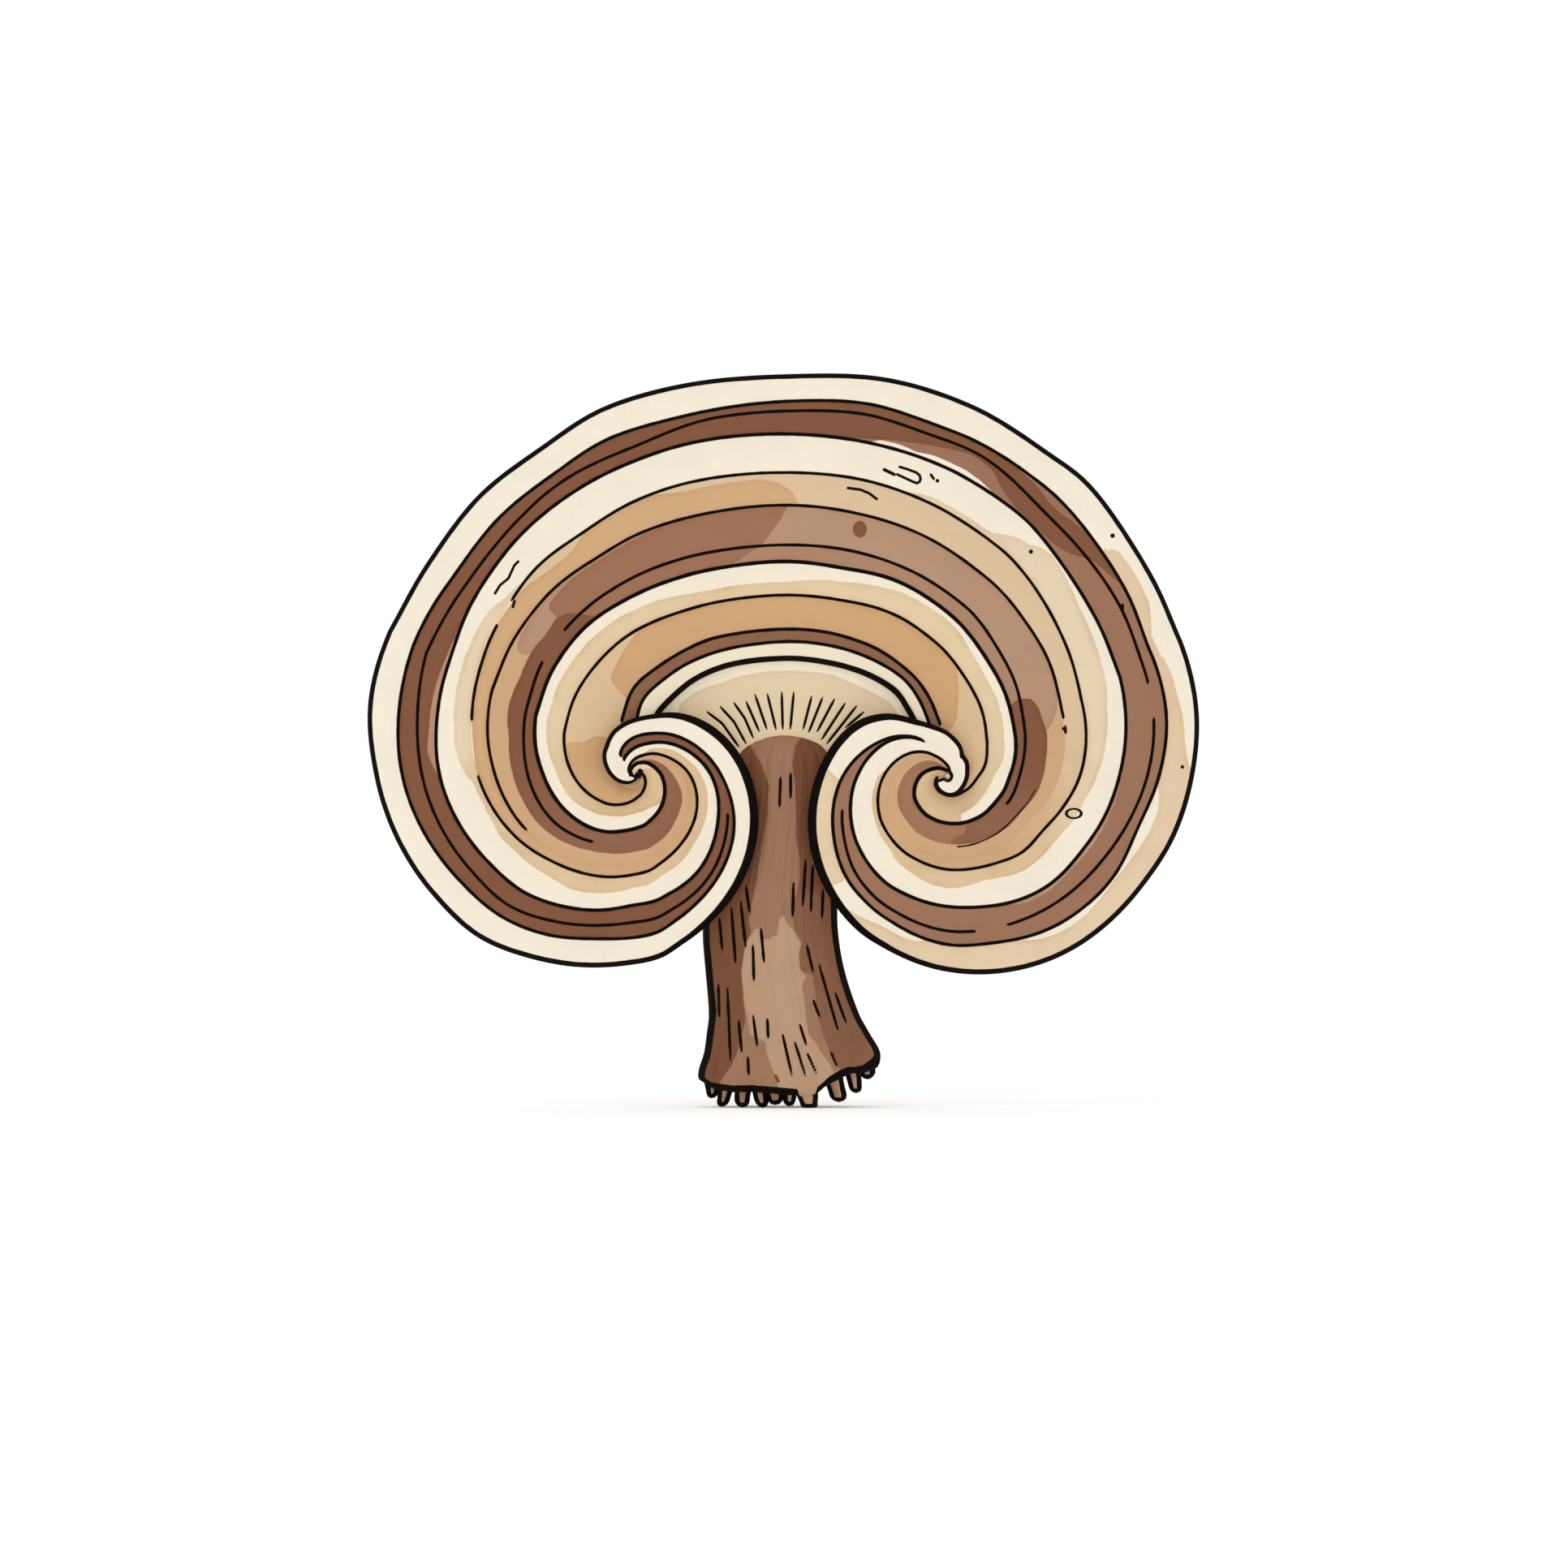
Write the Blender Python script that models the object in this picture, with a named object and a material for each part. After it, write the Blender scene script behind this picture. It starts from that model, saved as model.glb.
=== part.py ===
"""Turkey tail fungus: a leathery zoned fan whose two sides curl into scroll lobes, on a fibrous stem.

The front of the fan faces -Y, +X is to the right as seen from the front, and the cut foot of the stem
stands on Z = 0. Lengths are in millimetres until the last step of each mesh, which makes them metres.

The fan is one ribbon. It starts in the eye of the left scroll, runs up over the arch and ends in the eye
of the right scroll. Each cross-section goes from the margin (the outer edge) to the inner edge, which is
the rim of the arch over the stem and, in the scrolls, a narrow turn round the eye. The "turn" of a section
is 0 at the top of the arch and grows by 360 for each time round an eye.
"""

import math

import bmesh
import bpy
from mathutils import Vector, noise

MM = 0.001

# The middle of the box that the whole part fills: the frame's origin lies there, at the foot's level.
BOX_MIDDLE = Vector((0.0, 0.607, 0.0))

# The two scrolls: eye centres (x, z), and the distance of the margin from the eye at each turn.
LEFT_EYE = Vector((-14.0, 32.1))
RIGHT_EYE = Vector((15.8, 31.95))
EYE_RADIUS = 0.3
LEFT_MARGIN = (
    (60, 27.8), (75, 26.9), (90, 25.4), (120, 22.9), (135, 21.9), (150, 20.3), (180, 18.0), (195, 16.5),
    (210, 15.2), (240, 12.7), (270, 10.4), (300, 8.4), (330, 6.7), (345, 5.7), (360, 5.3), (390, 4.7),
    (420, 3.8), (450, 2.6), (480, 1.5), (510, 1.0), (525, 0.8),
)
RIGHT_MARGIN = (
    (60, 26.1), (75, 25.0), (90, 23.7), (105, 22.6), (120, 21.5), (150, 20.2), (180, 18.6), (210, 17.0),
    (240, 14.7), (270, 12.3), (300, 10.0), (315, 8.3), (330, 6.3), (345, 5.1), (360, 4.3), (390, 2.8),
    (420, 2.1), (450, 1.9), (480, 1.75), (540, 1.75), (570, 1.6), (600, 1.4), (615, 1.1),
)

# The arch from left to right: the turn, the inner edge (x, z) and the margin (x, z).
ARCH = (
    (50, (-13.2, 34.9), (-34.4, 52.5)),
    (40, (-12.4, 37.5), (-29.5, 59.0)),
    (30, (-11.1, 39.2), (-23.5, 63.7)),
    (20, (-8.4, 41.4), (-17.3, 67.6)),
    (10, (-4.7, 42.8), (-9.1, 69.9)),
    (0, (0.3, 43.3), (0.3, 70.7)),
    (10, (4.3, 42.9), (9.8, 70.4)),
    (20, (7.8, 41.9), (18.4, 67.7)),
    (30, (10.6, 40.3), (25.5, 63.3)),
    (40, (12.0, 38.4), (30.2, 59.4)),
    (50, (13.7, 35.2), (35.4, 51.6)),
)

# Where the growth zones meet, as parts of the way from the margin to the inner edge, at some turns.
ZONE_EDGES = (
    (0, (0.09, 0.20, 0.34, 0.455, 0.66, 0.775, 0.92)),
    (60, (0.096, 0.24, 0.355, 0.42, 0.60, 0.71, 0.90)),
    (120, (0.117, 0.26, 0.43, 0.52, 0.67, 0.81, 0.93)),
    (180, (0.133, 0.30, 0.48, 0.57, 0.72, 0.89, 0.96)),
    (270, (0.25, 0.33, 0.54, 0.63, 0.79, 0.92, 0.97)),
    (360, (0.34, 0.47, 0.70, 0.77, 0.84, 0.92, 0.97)),
    (450, (0.45, 0.56, 0.74, 0.80, 0.86, 0.93, 0.97)),
    (615, (0.45, 0.56, 0.74, 0.80, 0.86, 0.93, 0.97)),
)
ZONE_SWELL = 0.5
ZONE_SWELL_SHARE = 0.15

# Depths: the front face at the inner edge, and how far it comes forward with each turn round an eye.
RIM_FRONT = -1.2
SCROLL_PITCH = 2.3
# The margin is swept back behind the inner edge, and the face between them is slightly crowned.
SWEEP_BACK = (
    (0, 3.2), (60, 3.0), (90, 2.6), (150, 1.5), (180, 0.8), (210, 0.2), (240, 0.0), (615, 0.0),
)
CROWN = 0.45
MARGIN_WAVE = 0.4
STATIONS_PER_WAVE = 10
FULL_FORM_LENGTH = 18
# How thick the fan is, at its inner edge by turn and at its margin.
RIM_THICKNESS = (
    (0, 3.0), (30, 2.7), (60, 2.0), (120, 1.7), (330, 1.5), (420, 1.35), (525, 1.1), (615, 1.0),
)
MARGIN_THICKNESS = 1.5
# The rounding of both edges: its reach in from the edge, and the points that draw it.
EDGE_ROUNDING = 0.6
EDGE_ROUNDING_SHARE = 0.22
EDGE_POINTS = (0.2, 0.5, 0.8)
EDGE_FULLNESS = 0.7
# How finely it is drawn: degrees between sections, sections per step of the arch, rows on the back.
LOBE_STEP = 13
ARCH_STEPS = 2
BACK_ROWS = 4

# The core that closes each eye behind its pit: radius, and how far front and back it reaches.
CORE = (0.55, -2.7, 0.2)
CORE_SIDES = 12

# The throat: a ribbed plate behind the arch that runs down to the stem.
THROAT_HUB = Vector((0.0, 33.0))
THROAT_OUTLINE = (
    (-13.3, 38.1), (-12.0, 40.1), (-9.2, 42.5), (-5.1, 44.1), (0.3, 44.7), (4.8, 44.3),
    (8.6, 43.1), (11.6, 41.2), (13.0, 38.8), (12.2, 33.8), (8.8, 29.6), (4.4, 27.5), (0.0, 27.0),
    (-4.4, 27.5), (-8.8, 29.6), (-12.2, 33.8),
)
# Its depths: the front and back of its rim, the hollow in front and the boss behind.
THROAT_FRONT_RIM = 0.5
THROAT_COVE = 1.1
THROAT_COVE_EDGE = 0.45
THROAT_BACK_RIM = 1.5
THROAT_BOSS = 4.9
# Its ribs fan out from the hub: how many on each side, to what angle, and from where to where.
THROAT_RIBS = 15
THROAT_RIB_HEIGHT = 0.16
THROAT_RIB_SPREAD = math.radians(62)
THROAT_RIBBED_FROM = 0.2
THROAT_RIBBED_TO = 0.72
THROAT_RIB_FADE = 0.16
THROAT_PLAIN_STEPS = 18
THROAT_FRONT_RINGS = (0.12, 0.33, 0.44, 0.55, 0.67, 0.84, 1.0)
THROAT_BACK_RINGS = (1.0, 0.86, 0.7, 0.54, 0.38, 0.2)

# The stem from its foot up: height, centre (x, y), half width and half depth.
STEM_SECTIONS = (
    (1.9, 0.0, 0.9, 7.9, 5.3),
    (3.4, 0.4, 0.9, 8.3, 5.2),
    (5.2, 0.85, 1.1, 8.2, 4.9),
    (7.0, 0.5, 1.5, 7.6, 4.5),
    (9.0, 0.05, 1.8, 6.95, 4.2),
    (12.9, -0.75, 2.2, 6.45, 3.9),
    (17.0, -1.25, 2.4, 6.25, 3.7),
    (21.0, -1.1, 2.45, 6.0, 3.55),
    (25.0, -0.6, 2.3, 5.4, 3.3),
    (29.0, -0.1, 2.05, 4.95, 3.05),
    (33.0, 0.1, 1.9, 4.85, 3.0),
)
STEM_DOME_HEIGHT = 2.8
STEM_DOME_ROWS = 4
STEM_DOME_CLOSE = 0.35
STEM_SIDES = 32
# Uneven flutes run up it: their depth, how many there are round it and how little they change with height.
FLUTE_DEPTH = 0.16
FLUTE_SPACING = 3.1
FLUTE_DRIFT = 0.06
# The underside of the foot is this high on the left, and rises to this over a stretch on the right.
FOOT_RISE_LEFT = 1.9
FOOT_RISE_RIGHT = 3.5
FOOT_RISE_START = 1.5
FOOT_RISE_STRETCH = 5.5
FOOT_ROW_GAP = 0.9
SOCKET_GAP = 0.3

# The heel under the foot: centre (x, y), half width and half length of its cut face, then its rings
# from the cut face up: height and spread.
HEEL = (2.4, 0.7, 0.9, 4.4)
HEEL_RINGS = ((0.0, 0.9), (0.5, 1.0), (1.6, 1.5), (3.8, 1.9))
HEEL_SIDES = 16
HEEL_SQUARENESS = 0.6
HEEL_END_SPREAD = 0.08

# The root-like fingers under the foot. Those in front: x, radius, lean in x and height of the tip.
FRONT_ROOTLETS = (
    (-6.9, 0.42, -0.4, 1.0), (-5.75, 0.55, -0.25, 0.0), (-3.9, 0.62, 0.0, 0.0),
    (-2.3, 0.52, 0.2, 0.0), (-0.9, 0.72, 0.0, 0.3), (0.6, 0.52, 0.1, 0.2),
    (5.0, 0.72, 0.35, 0.3), (6.5, 0.48, 0.5, 1.2), (7.4, 0.4, 0.8, 2.6),
)
FRONT_ROOTLET_INSET = 2.1
# Those behind stand on half a ring: their number, mean radius, lean, and the first one's angle.
BACK_ROOTLETS = 11
BACK_ROOTLET_RADIUS = 0.62
BACK_ROOTLET_LEAN = 0.35
BACK_RING_SHARE = 0.8
BACK_RING_START = math.radians(8)
# Every finger: its rings as parts of its length, its widths, its sides and how deep it starts in the foot.
ROOTLET_RINGS = (0.0, 0.55, 1.0)
ROOTLET_TOP_WIDTH = 1.1
ROOTLET_TIP_WIDTH = 0.72
ROOTLET_SIDES = 7
ROOTLET_BURIED = 1.0


def clear_scene():
    for obj in list(bpy.data.objects):
        bpy.data.objects.remove(obj, do_unlink=True)


def curve_through(keys, t):
    """A smooth curve (Catmull-Rom) through (parameter, value) keys; values are numbers or vectors."""
    last = len(keys) - 1
    i = 0
    while i < last - 1 and t > keys[i + 1][0]:
        i += 1
    (t1, p1), (t2, p2) = keys[i], keys[i + 1]
    t0, p0 = keys[i - 1] if i > 0 else (2 * t1 - t2, 2 * p1 - p2)
    t3, p3 = keys[i + 2] if i + 2 <= last else (2 * t2 - t1, 2 * p2 - p1)
    span = t2 - t1
    slope1 = (p2 - p0) * (span / (t2 - t0))
    slope2 = (p3 - p1) * (span / (t3 - t1))
    f = (t - t1) / span
    return (
        p1 * (2 * f**3 - 3 * f**2 + 1)
        + slope1 * (f**3 - 2 * f**2 + f)
        + p2 * (3 * f**2 - 2 * f**3)
        + slope2 * (f**3 - f**2)
    )


def straight_through(keys, t):
    """Straight runs through (parameter, value) keys, held at both ends."""
    if t <= keys[0][0]:
        return keys[0][1]
    for (t1, v1), (t2, v2) in zip(keys, keys[1:]):
        if t <= t2:
            f = (t - t1) / (t2 - t1)
            return v1 + (v2 - v1) * f
    return keys[-1][1]


def smooth(x):
    x = min(max(x, 0.0), 1.0)
    return x * x * (3 - 2 * x)


# ---------------------------------------------------------------- the fan


def lobe_stations(eye, margin, side):
    """Sections of one scroll, from the arch to its eye. side is -1 on the left and 1 on the right."""
    first, last = margin[0][0], margin[-1][0]
    count = round((last - first) / LOBE_STEP)
    stations = []
    for i in range(count + 1):
        turn = first + (last - first) * i / count
        ray = Vector((side * math.sin(math.radians(turn)), math.cos(math.radians(turn))))
        radius = curve_through(margin, turn)
        stations.append((turn, eye + ray * EYE_RADIUS, eye + ray * radius))
    return stations


def arch_stations(before, after):
    """Sections of the arch, between the last left and the first right section of the scrolls."""
    keys = [before] + [(turn, Vector(inner), Vector(outer)) for turn, inner, outer in ARCH] + [after]
    turns = [(i, float(key[0])) for i, key in enumerate(keys)]
    inners = [(i, key[1]) for i, key in enumerate(keys)]
    outers = [(i, key[2]) for i, key in enumerate(keys)]
    stations = []
    for i in range(1, (len(keys) - 1) * ARCH_STEPS):
        t = i / ARCH_STEPS
        stations.append(
            (straight_through(turns, t), curve_through(inners, t), curve_through(outers, t))
        )
    return stations


def ribbon_stations():
    left = lobe_stations(LEFT_EYE, LEFT_MARGIN, -1)
    right = lobe_stations(RIGHT_EYE, RIGHT_MARGIN, 1)
    return left[::-1] + arch_stations(left[0], right[0]) + right


def zone_edges(turn):
    keys = [(key, Vector(edges)) for key, edges in ZONE_EDGES]
    return [0.0] + list(straight_through(keys, turn)) + [1.0]


def front_depth(index, turn, along, length):
    """The front face without the swell of its zones. along is 0 at the margin and 1 at the inner edge."""
    form = min(1.0, length / FULL_FORM_LENGTH)
    inner = RIM_FRONT - SCROLL_PITCH * turn / 360
    wave = MARGIN_WAVE * form * math.sin(math.tau * index / STATIONS_PER_WAVE)
    swept = straight_through(SWEEP_BACK, turn) + wave
    return inner + swept * (1 - along) ** 2 - CROWN * form * math.sin(math.pi * along)


def thickness(turn, along):
    rim = straight_through(RIM_THICKNESS, turn)
    margin = min(MARGIN_THICKNESS, rim)
    return margin + (rim - margin) * smooth(along)


def section_points(index, turn, inner, outer):
    """One closed cross-section: front rows from margin to inner edge, then the back rows the other way."""
    length = (inner - outer).length
    round_off = min(EDGE_ROUNDING, EDGE_ROUNDING_SHARE * length)

    def place(distance, depth):
        flat = outer + (inner - outer) * (distance / length)
        return Vector((flat.x, depth, flat.y))

    def front(along):
        return front_depth(index, turn, along, length)

    def back(along):
        return front(along) + thickness(turn, along)

    def edge(along, share):
        """A point on a rounded edge: how far out it bulges, and its depth from front (0) to back (1)."""
        tuck = round_off * (1 - math.sin(math.pi * share) ** EDGE_FULLNESS)
        depth = front(along) + (back(along) - front(along)) * share
        return place(length - tuck if along else tuck, depth)

    def across(along):
        return round_off + along * (length - 2 * round_off)

    points = []
    edges = zone_edges(turn)
    for start, end in zip(edges, edges[1:]):
        middle = (start + end) / 2
        swell = min(ZONE_SWELL, ZONE_SWELL_SHARE * (end - start) * length)
        points.append(place(across(start), front(start)))
        points.append(place(across(middle), front(middle) - swell))
    points.append(place(across(1.0), front(1.0)))
    points += [edge(1.0, share) for share in EDGE_POINTS]
    for i in range(BACK_ROWS + 1):
        along = 1 - i / BACK_ROWS
        points.append(place(across(along), back(along)))
    points += [edge(0.0, share) for share in reversed(EDGE_POINTS)]
    return points


def lofted(name, loops, material):
    """A closed solid through loops of equally many points, closed at each end by a fan of triangles."""
    mesh = bmesh.new()
    rings = [[mesh.verts.new((point - BOX_MIDDLE) * MM) for point in loop] for loop in loops]
    for ring, following in zip(rings, rings[1:]):
        for i in range(len(ring)):
            j = (i + 1) % len(ring)
            mesh.faces.new((ring[i], ring[j], following[j], following[i]))
    ends = [mesh.faces.new(rings[0][::-1]), mesh.faces.new(rings[-1])]
    bmesh.ops.poke(mesh, faces=ends)
    return finished(name, mesh, material)


def finished(name, mesh, material):
    """The bmesh as a named object, facing out and shaded smooth."""
    bmesh.ops.recalc_face_normals(mesh, faces=mesh.faces)
    data = bpy.data.meshes.new(name)
    mesh.to_mesh(data)
    mesh.free()
    data.shade_smooth()
    data.materials.append(material)
    obj = bpy.data.objects.new(name, data)
    bpy.context.scene.collection.objects.link(obj)
    return obj


def surface(name, colour, roughness):
    material = bpy.data.materials.new(name)
    material.use_nodes = True
    shader = material.node_tree.nodes["Principled BSDF"]
    shader.inputs["Base Color"].default_value = (*colour, 1.0)
    shader.inputs["Roughness"].default_value = roughness
    shader.inputs["Metallic"].default_value = 0.0
    material.diffuse_color = (*colour, 1.0)
    return material


def make_helper(obj):
    obj.hide_render = True
    obj.display_type = "WIRE"


def combine(obj, other, operation):
    modifier = obj.modifiers.new(f"{operation.lower()} {other.name}", "BOOLEAN")
    modifier.operation = operation
    modifier.solver = "EXACT"
    modifier.object = other
    make_helper(other)


def eye_core(name, eye, material):
    radius, front, back = CORE
    loops = []
    for depth in (front, back):
        loop = []
        for i in range(CORE_SIDES):
            angle = math.tau * i / CORE_SIDES
            across = radius * math.cos(angle)
            up = radius * math.sin(angle)
            loop.append(Vector((eye.x + across, depth, eye.y + up)))
        loops.append(loop)
    return lofted(name, loops, material)


def fan_ribbon(material):
    loops = [section_points(i, *station) for i, station in enumerate(ribbon_stations())]
    return lofted("cap", loops, material)


# ---------------------------------------------------------------- the throat


def throat_point(angle, ring, outline, behind):
    """A point of the throat plate. angle is 0 straight up and grows to the right."""
    ray = Vector((math.sin(angle), math.cos(angle)))
    flat = THROAT_HUB + ray * (outline * ring)
    if behind:
        middle = THROAT_BACK_RINGS[-1]
        boss = THROAT_BOSS * (1 - smooth((ring - middle) / (1 - middle)))
        return Vector((flat.x, THROAT_BACK_RIM + boss, flat.y))
    cove = THROAT_COVE * smooth((1 - ring) / THROAT_COVE_EDGE)
    fade = smooth((ring - THROAT_RIBBED_FROM) / THROAT_RIB_FADE)
    fade *= smooth((THROAT_RIBBED_TO - ring) / THROAT_RIB_FADE)
    fade *= smooth((THROAT_RIB_SPREAD - abs(angle)) / THROAT_RIB_FADE)
    rib = THROAT_RIB_HEIGHT * math.cos(math.pi * THROAT_RIBS * angle / THROAT_RIB_SPREAD) * fade
    return Vector((flat.x, THROAT_FRONT_RIM + cove - rib, flat.y))


def throat_plate(material):
    """A plate lofted from a small ring at its hub in front, over its outline, to a small ring behind."""
    corners = [Vector(point) - THROAT_HUB for point in THROAT_OUTLINE]
    reach = sorted((math.atan2(corner.x, corner.y), corner.length) for corner in corners)
    before = [(angle - math.tau, length) for angle, length in reach[-1:]]
    after = [(angle + math.tau, length) for angle, length in reach[:1]]
    keys = before + reach + after
    rib_angles = [THROAT_RIB_SPREAD * i / THROAT_RIBS for i in range(-THROAT_RIBS, THROAT_RIBS + 1)]
    plain_step = (math.tau - 2 * THROAT_RIB_SPREAD) / THROAT_PLAIN_STEPS
    plain_angles = [THROAT_RIB_SPREAD + plain_step * i for i in range(1, THROAT_PLAIN_STEPS)]
    loops = []
    for behind, rings in ((False, THROAT_FRONT_RINGS), (True, THROAT_BACK_RINGS)):
        for ring in rings:
            loop = []
            for angle in rib_angles + plain_angles:
                turned = (angle + math.pi) % math.tau - math.pi
                loop.append(throat_point(turned, ring, curve_through(keys, turned), behind))
            loops.append(loop)
    return lofted("throat_plate", loops, material)


# ---------------------------------------------------------------- the stem


def stem_section(height):
    keys = [(row[0], Vector(row[1:])) for row in STEM_SECTIONS]
    return curve_through(keys, height)


def stem_loop(height, shrink, grow, lift=0.0):
    """One level of the stem. The flutes drift a little as they climb, and fade in the dome."""
    x, y, half_width, half_depth = stem_section(height)
    loop = []
    for i in range(STEM_SIDES):
        angle = math.tau * i / STEM_SIDES
        ray = Vector((math.cos(angle), math.sin(angle), 0.0))
        ridge = noise.noise(ray * FLUTE_SPACING + Vector((0.0, 0.0, height * FLUTE_DRIFT)))
        groove = 0.5 if i % 2 else -0.5
        flute = FLUTE_DEPTH * (2.2 * ridge + groove) * shrink
        across = (half_width + flute) * shrink + grow
        deep = (half_depth + flute) * shrink + grow
        loop.append(Vector((x + across * ray.x, y + deep * ray.y, height + lift)))
    return loop


def foot_height(x):
    """How high the underside of the foot is: it rises towards the right."""
    rise = smooth((x - FOOT_RISE_START) / FOOT_RISE_STRETCH)
    return FOOT_RISE_LEFT + rise * (FOOT_RISE_RIGHT - FOOT_RISE_LEFT)


def stem_solid(name, grow, material):
    """The stem without what hangs from its foot. grow makes it fatter all over, for its socket."""
    heights = [row[0] for row in STEM_SECTIONS]
    loops = [stem_loop(height, 1.0, grow) for height in heights]
    for row in (0, 1):
        for point in loops[row]:
            point.z = max(point.z, foot_height(point.x) + FOOT_ROW_GAP * row)
    top = heights[-1]
    for row in range(1, STEM_DOME_ROWS + 1):
        angle = math.pi / 2 * row / (STEM_DOME_ROWS + STEM_DOME_CLOSE)
        lift = (STEM_DOME_HEIGHT + grow) * math.sin(angle)
        loops.append(stem_loop(top, math.cos(angle), grow, lift))
    return lofted(name, loops, material)


def finger(name, root, lean, tip_height, radius, material):
    """A root-like finger from inside the foot, under root (x, y), to its blunt tip, cut level below."""
    top = Vector((root.x, root.y, foot_height(root.x) + ROOTLET_BURIED))
    tip = Vector((root.x + lean, root.y, tip_height))
    loops = []
    for share in ROOTLET_RINGS:
        centre = top.lerp(tip, share)
        width = radius * (ROOTLET_TOP_WIDTH + (ROOTLET_TIP_WIDTH - ROOTLET_TOP_WIDTH) * share**1.5)
        loop = []
        for i in range(ROOTLET_SIDES):
            angle = math.tau * i / ROOTLET_SIDES
            loop.append(centre + Vector((width * math.cos(angle), width * math.sin(angle), 0)))
        loops.append(loop)
    return lofted(name, loops, material)


def heel_keel(material):
    """The lobe of the foot that is cut level and runs from front to back."""
    x, y, half_width, half_length = HEEL
    loops = []
    for height, spread in HEEL_RINGS:
        loop = []
        for i in range(HEEL_SIDES):
            angle = math.tau * i / HEEL_SIDES
            squared = math.copysign(abs(math.cos(angle)) ** HEEL_SQUARENESS, math.cos(angle))
            across = half_width * spread * squared
            along = half_length * (1 + HEEL_END_SPREAD * (spread - 1)) * math.sin(angle)
            loop.append(Vector((x + across, y + along, height)))
        loops.append(loop)
    return lofted("heel", loops, material)


def front_fingers(material):
    """Those along the front of the foot, each set in a little from its front face."""
    centre_x, centre_y, half_width, half_depth = STEM_SECTIONS[0][1:]
    made = []
    for i, (x, radius, lean, tip_height) in enumerate(FRONT_ROOTLETS):
        chord = math.sqrt(1 - ((x - centre_x) / half_width) ** 2)
        y = centre_y - max(0.0, half_depth * chord - FRONT_ROOTLET_INSET * radius)
        made.append(finger(f"front_root_{i}", Vector((x, y)), lean, tip_height, radius, material))
    return made


def back_fingers(material):
    """Those behind, on half a ring, uneven in width and lean, all ending at the level of the cut."""
    centre_x, centre_y, half_width, half_depth = STEM_SECTIONS[0][1:]
    made = []
    for i in range(BACK_ROOTLETS):
        angle = BACK_RING_START + (math.pi - 2 * BACK_RING_START) * i / (BACK_ROOTLETS - 1)
        x = centre_x + BACK_RING_SHARE * half_width * math.cos(angle)
        y = centre_y + BACK_RING_SHARE * half_depth * math.sin(angle)
        radius = BACK_ROOTLET_RADIUS * (1.0 + 0.25 * math.sin(2.4 * i))
        lean = BACK_ROOTLET_LEAN * math.sin(1.7 * i)
        made.append(finger(f"back_root_{i}", Vector((x, y)), lean, 0.0, radius, material))
    return made


def main():
    clear_scene()
    leather = surface("cap_skin", (0.66, 0.46, 0.29), 0.8)
    bark = surface("stem_fibre", (0.24, 0.12, 0.07), 0.85)
    cap = fan_ribbon(leather)
    combine(cap, throat_plate(leather), "UNION")
    combine(cap, eye_core("left_core", LEFT_EYE, leather), "UNION")
    combine(cap, eye_core("right_core", RIGHT_EYE, leather), "UNION")
    combine(cap, stem_solid("stem_socket", SOCKET_GAP, bark), "DIFFERENCE")
    stem = stem_solid("stem", 0.0, bark)
    combine(stem, heel_keel(bark), "UNION")
    for root in front_fingers(bark) + back_fingers(bark):
        combine(stem, root, "UNION")


main()
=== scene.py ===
"""Turkey tail fungus, dressed: the zoned fan, its pale throat, the fibrous stem and its root tips.

Lengths are in millimetres until a mesh is made, which turns them to metres. X runs to the right as seen
from the front, Y to the back and Z up. Colours are given as they look on paper, from 0 to 255.
"""

import math

import bpy
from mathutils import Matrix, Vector, noise


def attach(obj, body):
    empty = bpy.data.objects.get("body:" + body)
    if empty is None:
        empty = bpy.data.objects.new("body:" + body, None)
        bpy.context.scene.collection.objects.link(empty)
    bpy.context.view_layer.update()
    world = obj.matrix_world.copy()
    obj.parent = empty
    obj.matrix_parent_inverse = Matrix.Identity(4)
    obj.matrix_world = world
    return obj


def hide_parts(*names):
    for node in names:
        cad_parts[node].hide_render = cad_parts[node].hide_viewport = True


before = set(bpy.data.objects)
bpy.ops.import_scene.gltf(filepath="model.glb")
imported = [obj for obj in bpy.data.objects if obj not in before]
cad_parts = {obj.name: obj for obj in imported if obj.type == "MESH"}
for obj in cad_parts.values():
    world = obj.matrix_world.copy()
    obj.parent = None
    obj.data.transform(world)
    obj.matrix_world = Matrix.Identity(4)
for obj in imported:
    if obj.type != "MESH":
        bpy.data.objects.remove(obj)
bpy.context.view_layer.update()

bpy.ops.object.select_all(action="DESELECT")

# ---------------------------------------------------------------- the zoned fan
# The fan is one leathery sheet, 1.5 to 3 mm thick, grown in bands from the throat outwards. Its sides curl
# down and in, each turn in front of the last, and end in two tight eyes. Its face is velvety and banded from
# cream to dark brown, with a dark line where one year's growth met the next; its back is pale and porous.

MM = 0.001
# Depths grow to the back, and the middle of the part's box lies at this one.
BOX_MIDDLE_DEPTH = 0.607

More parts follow.
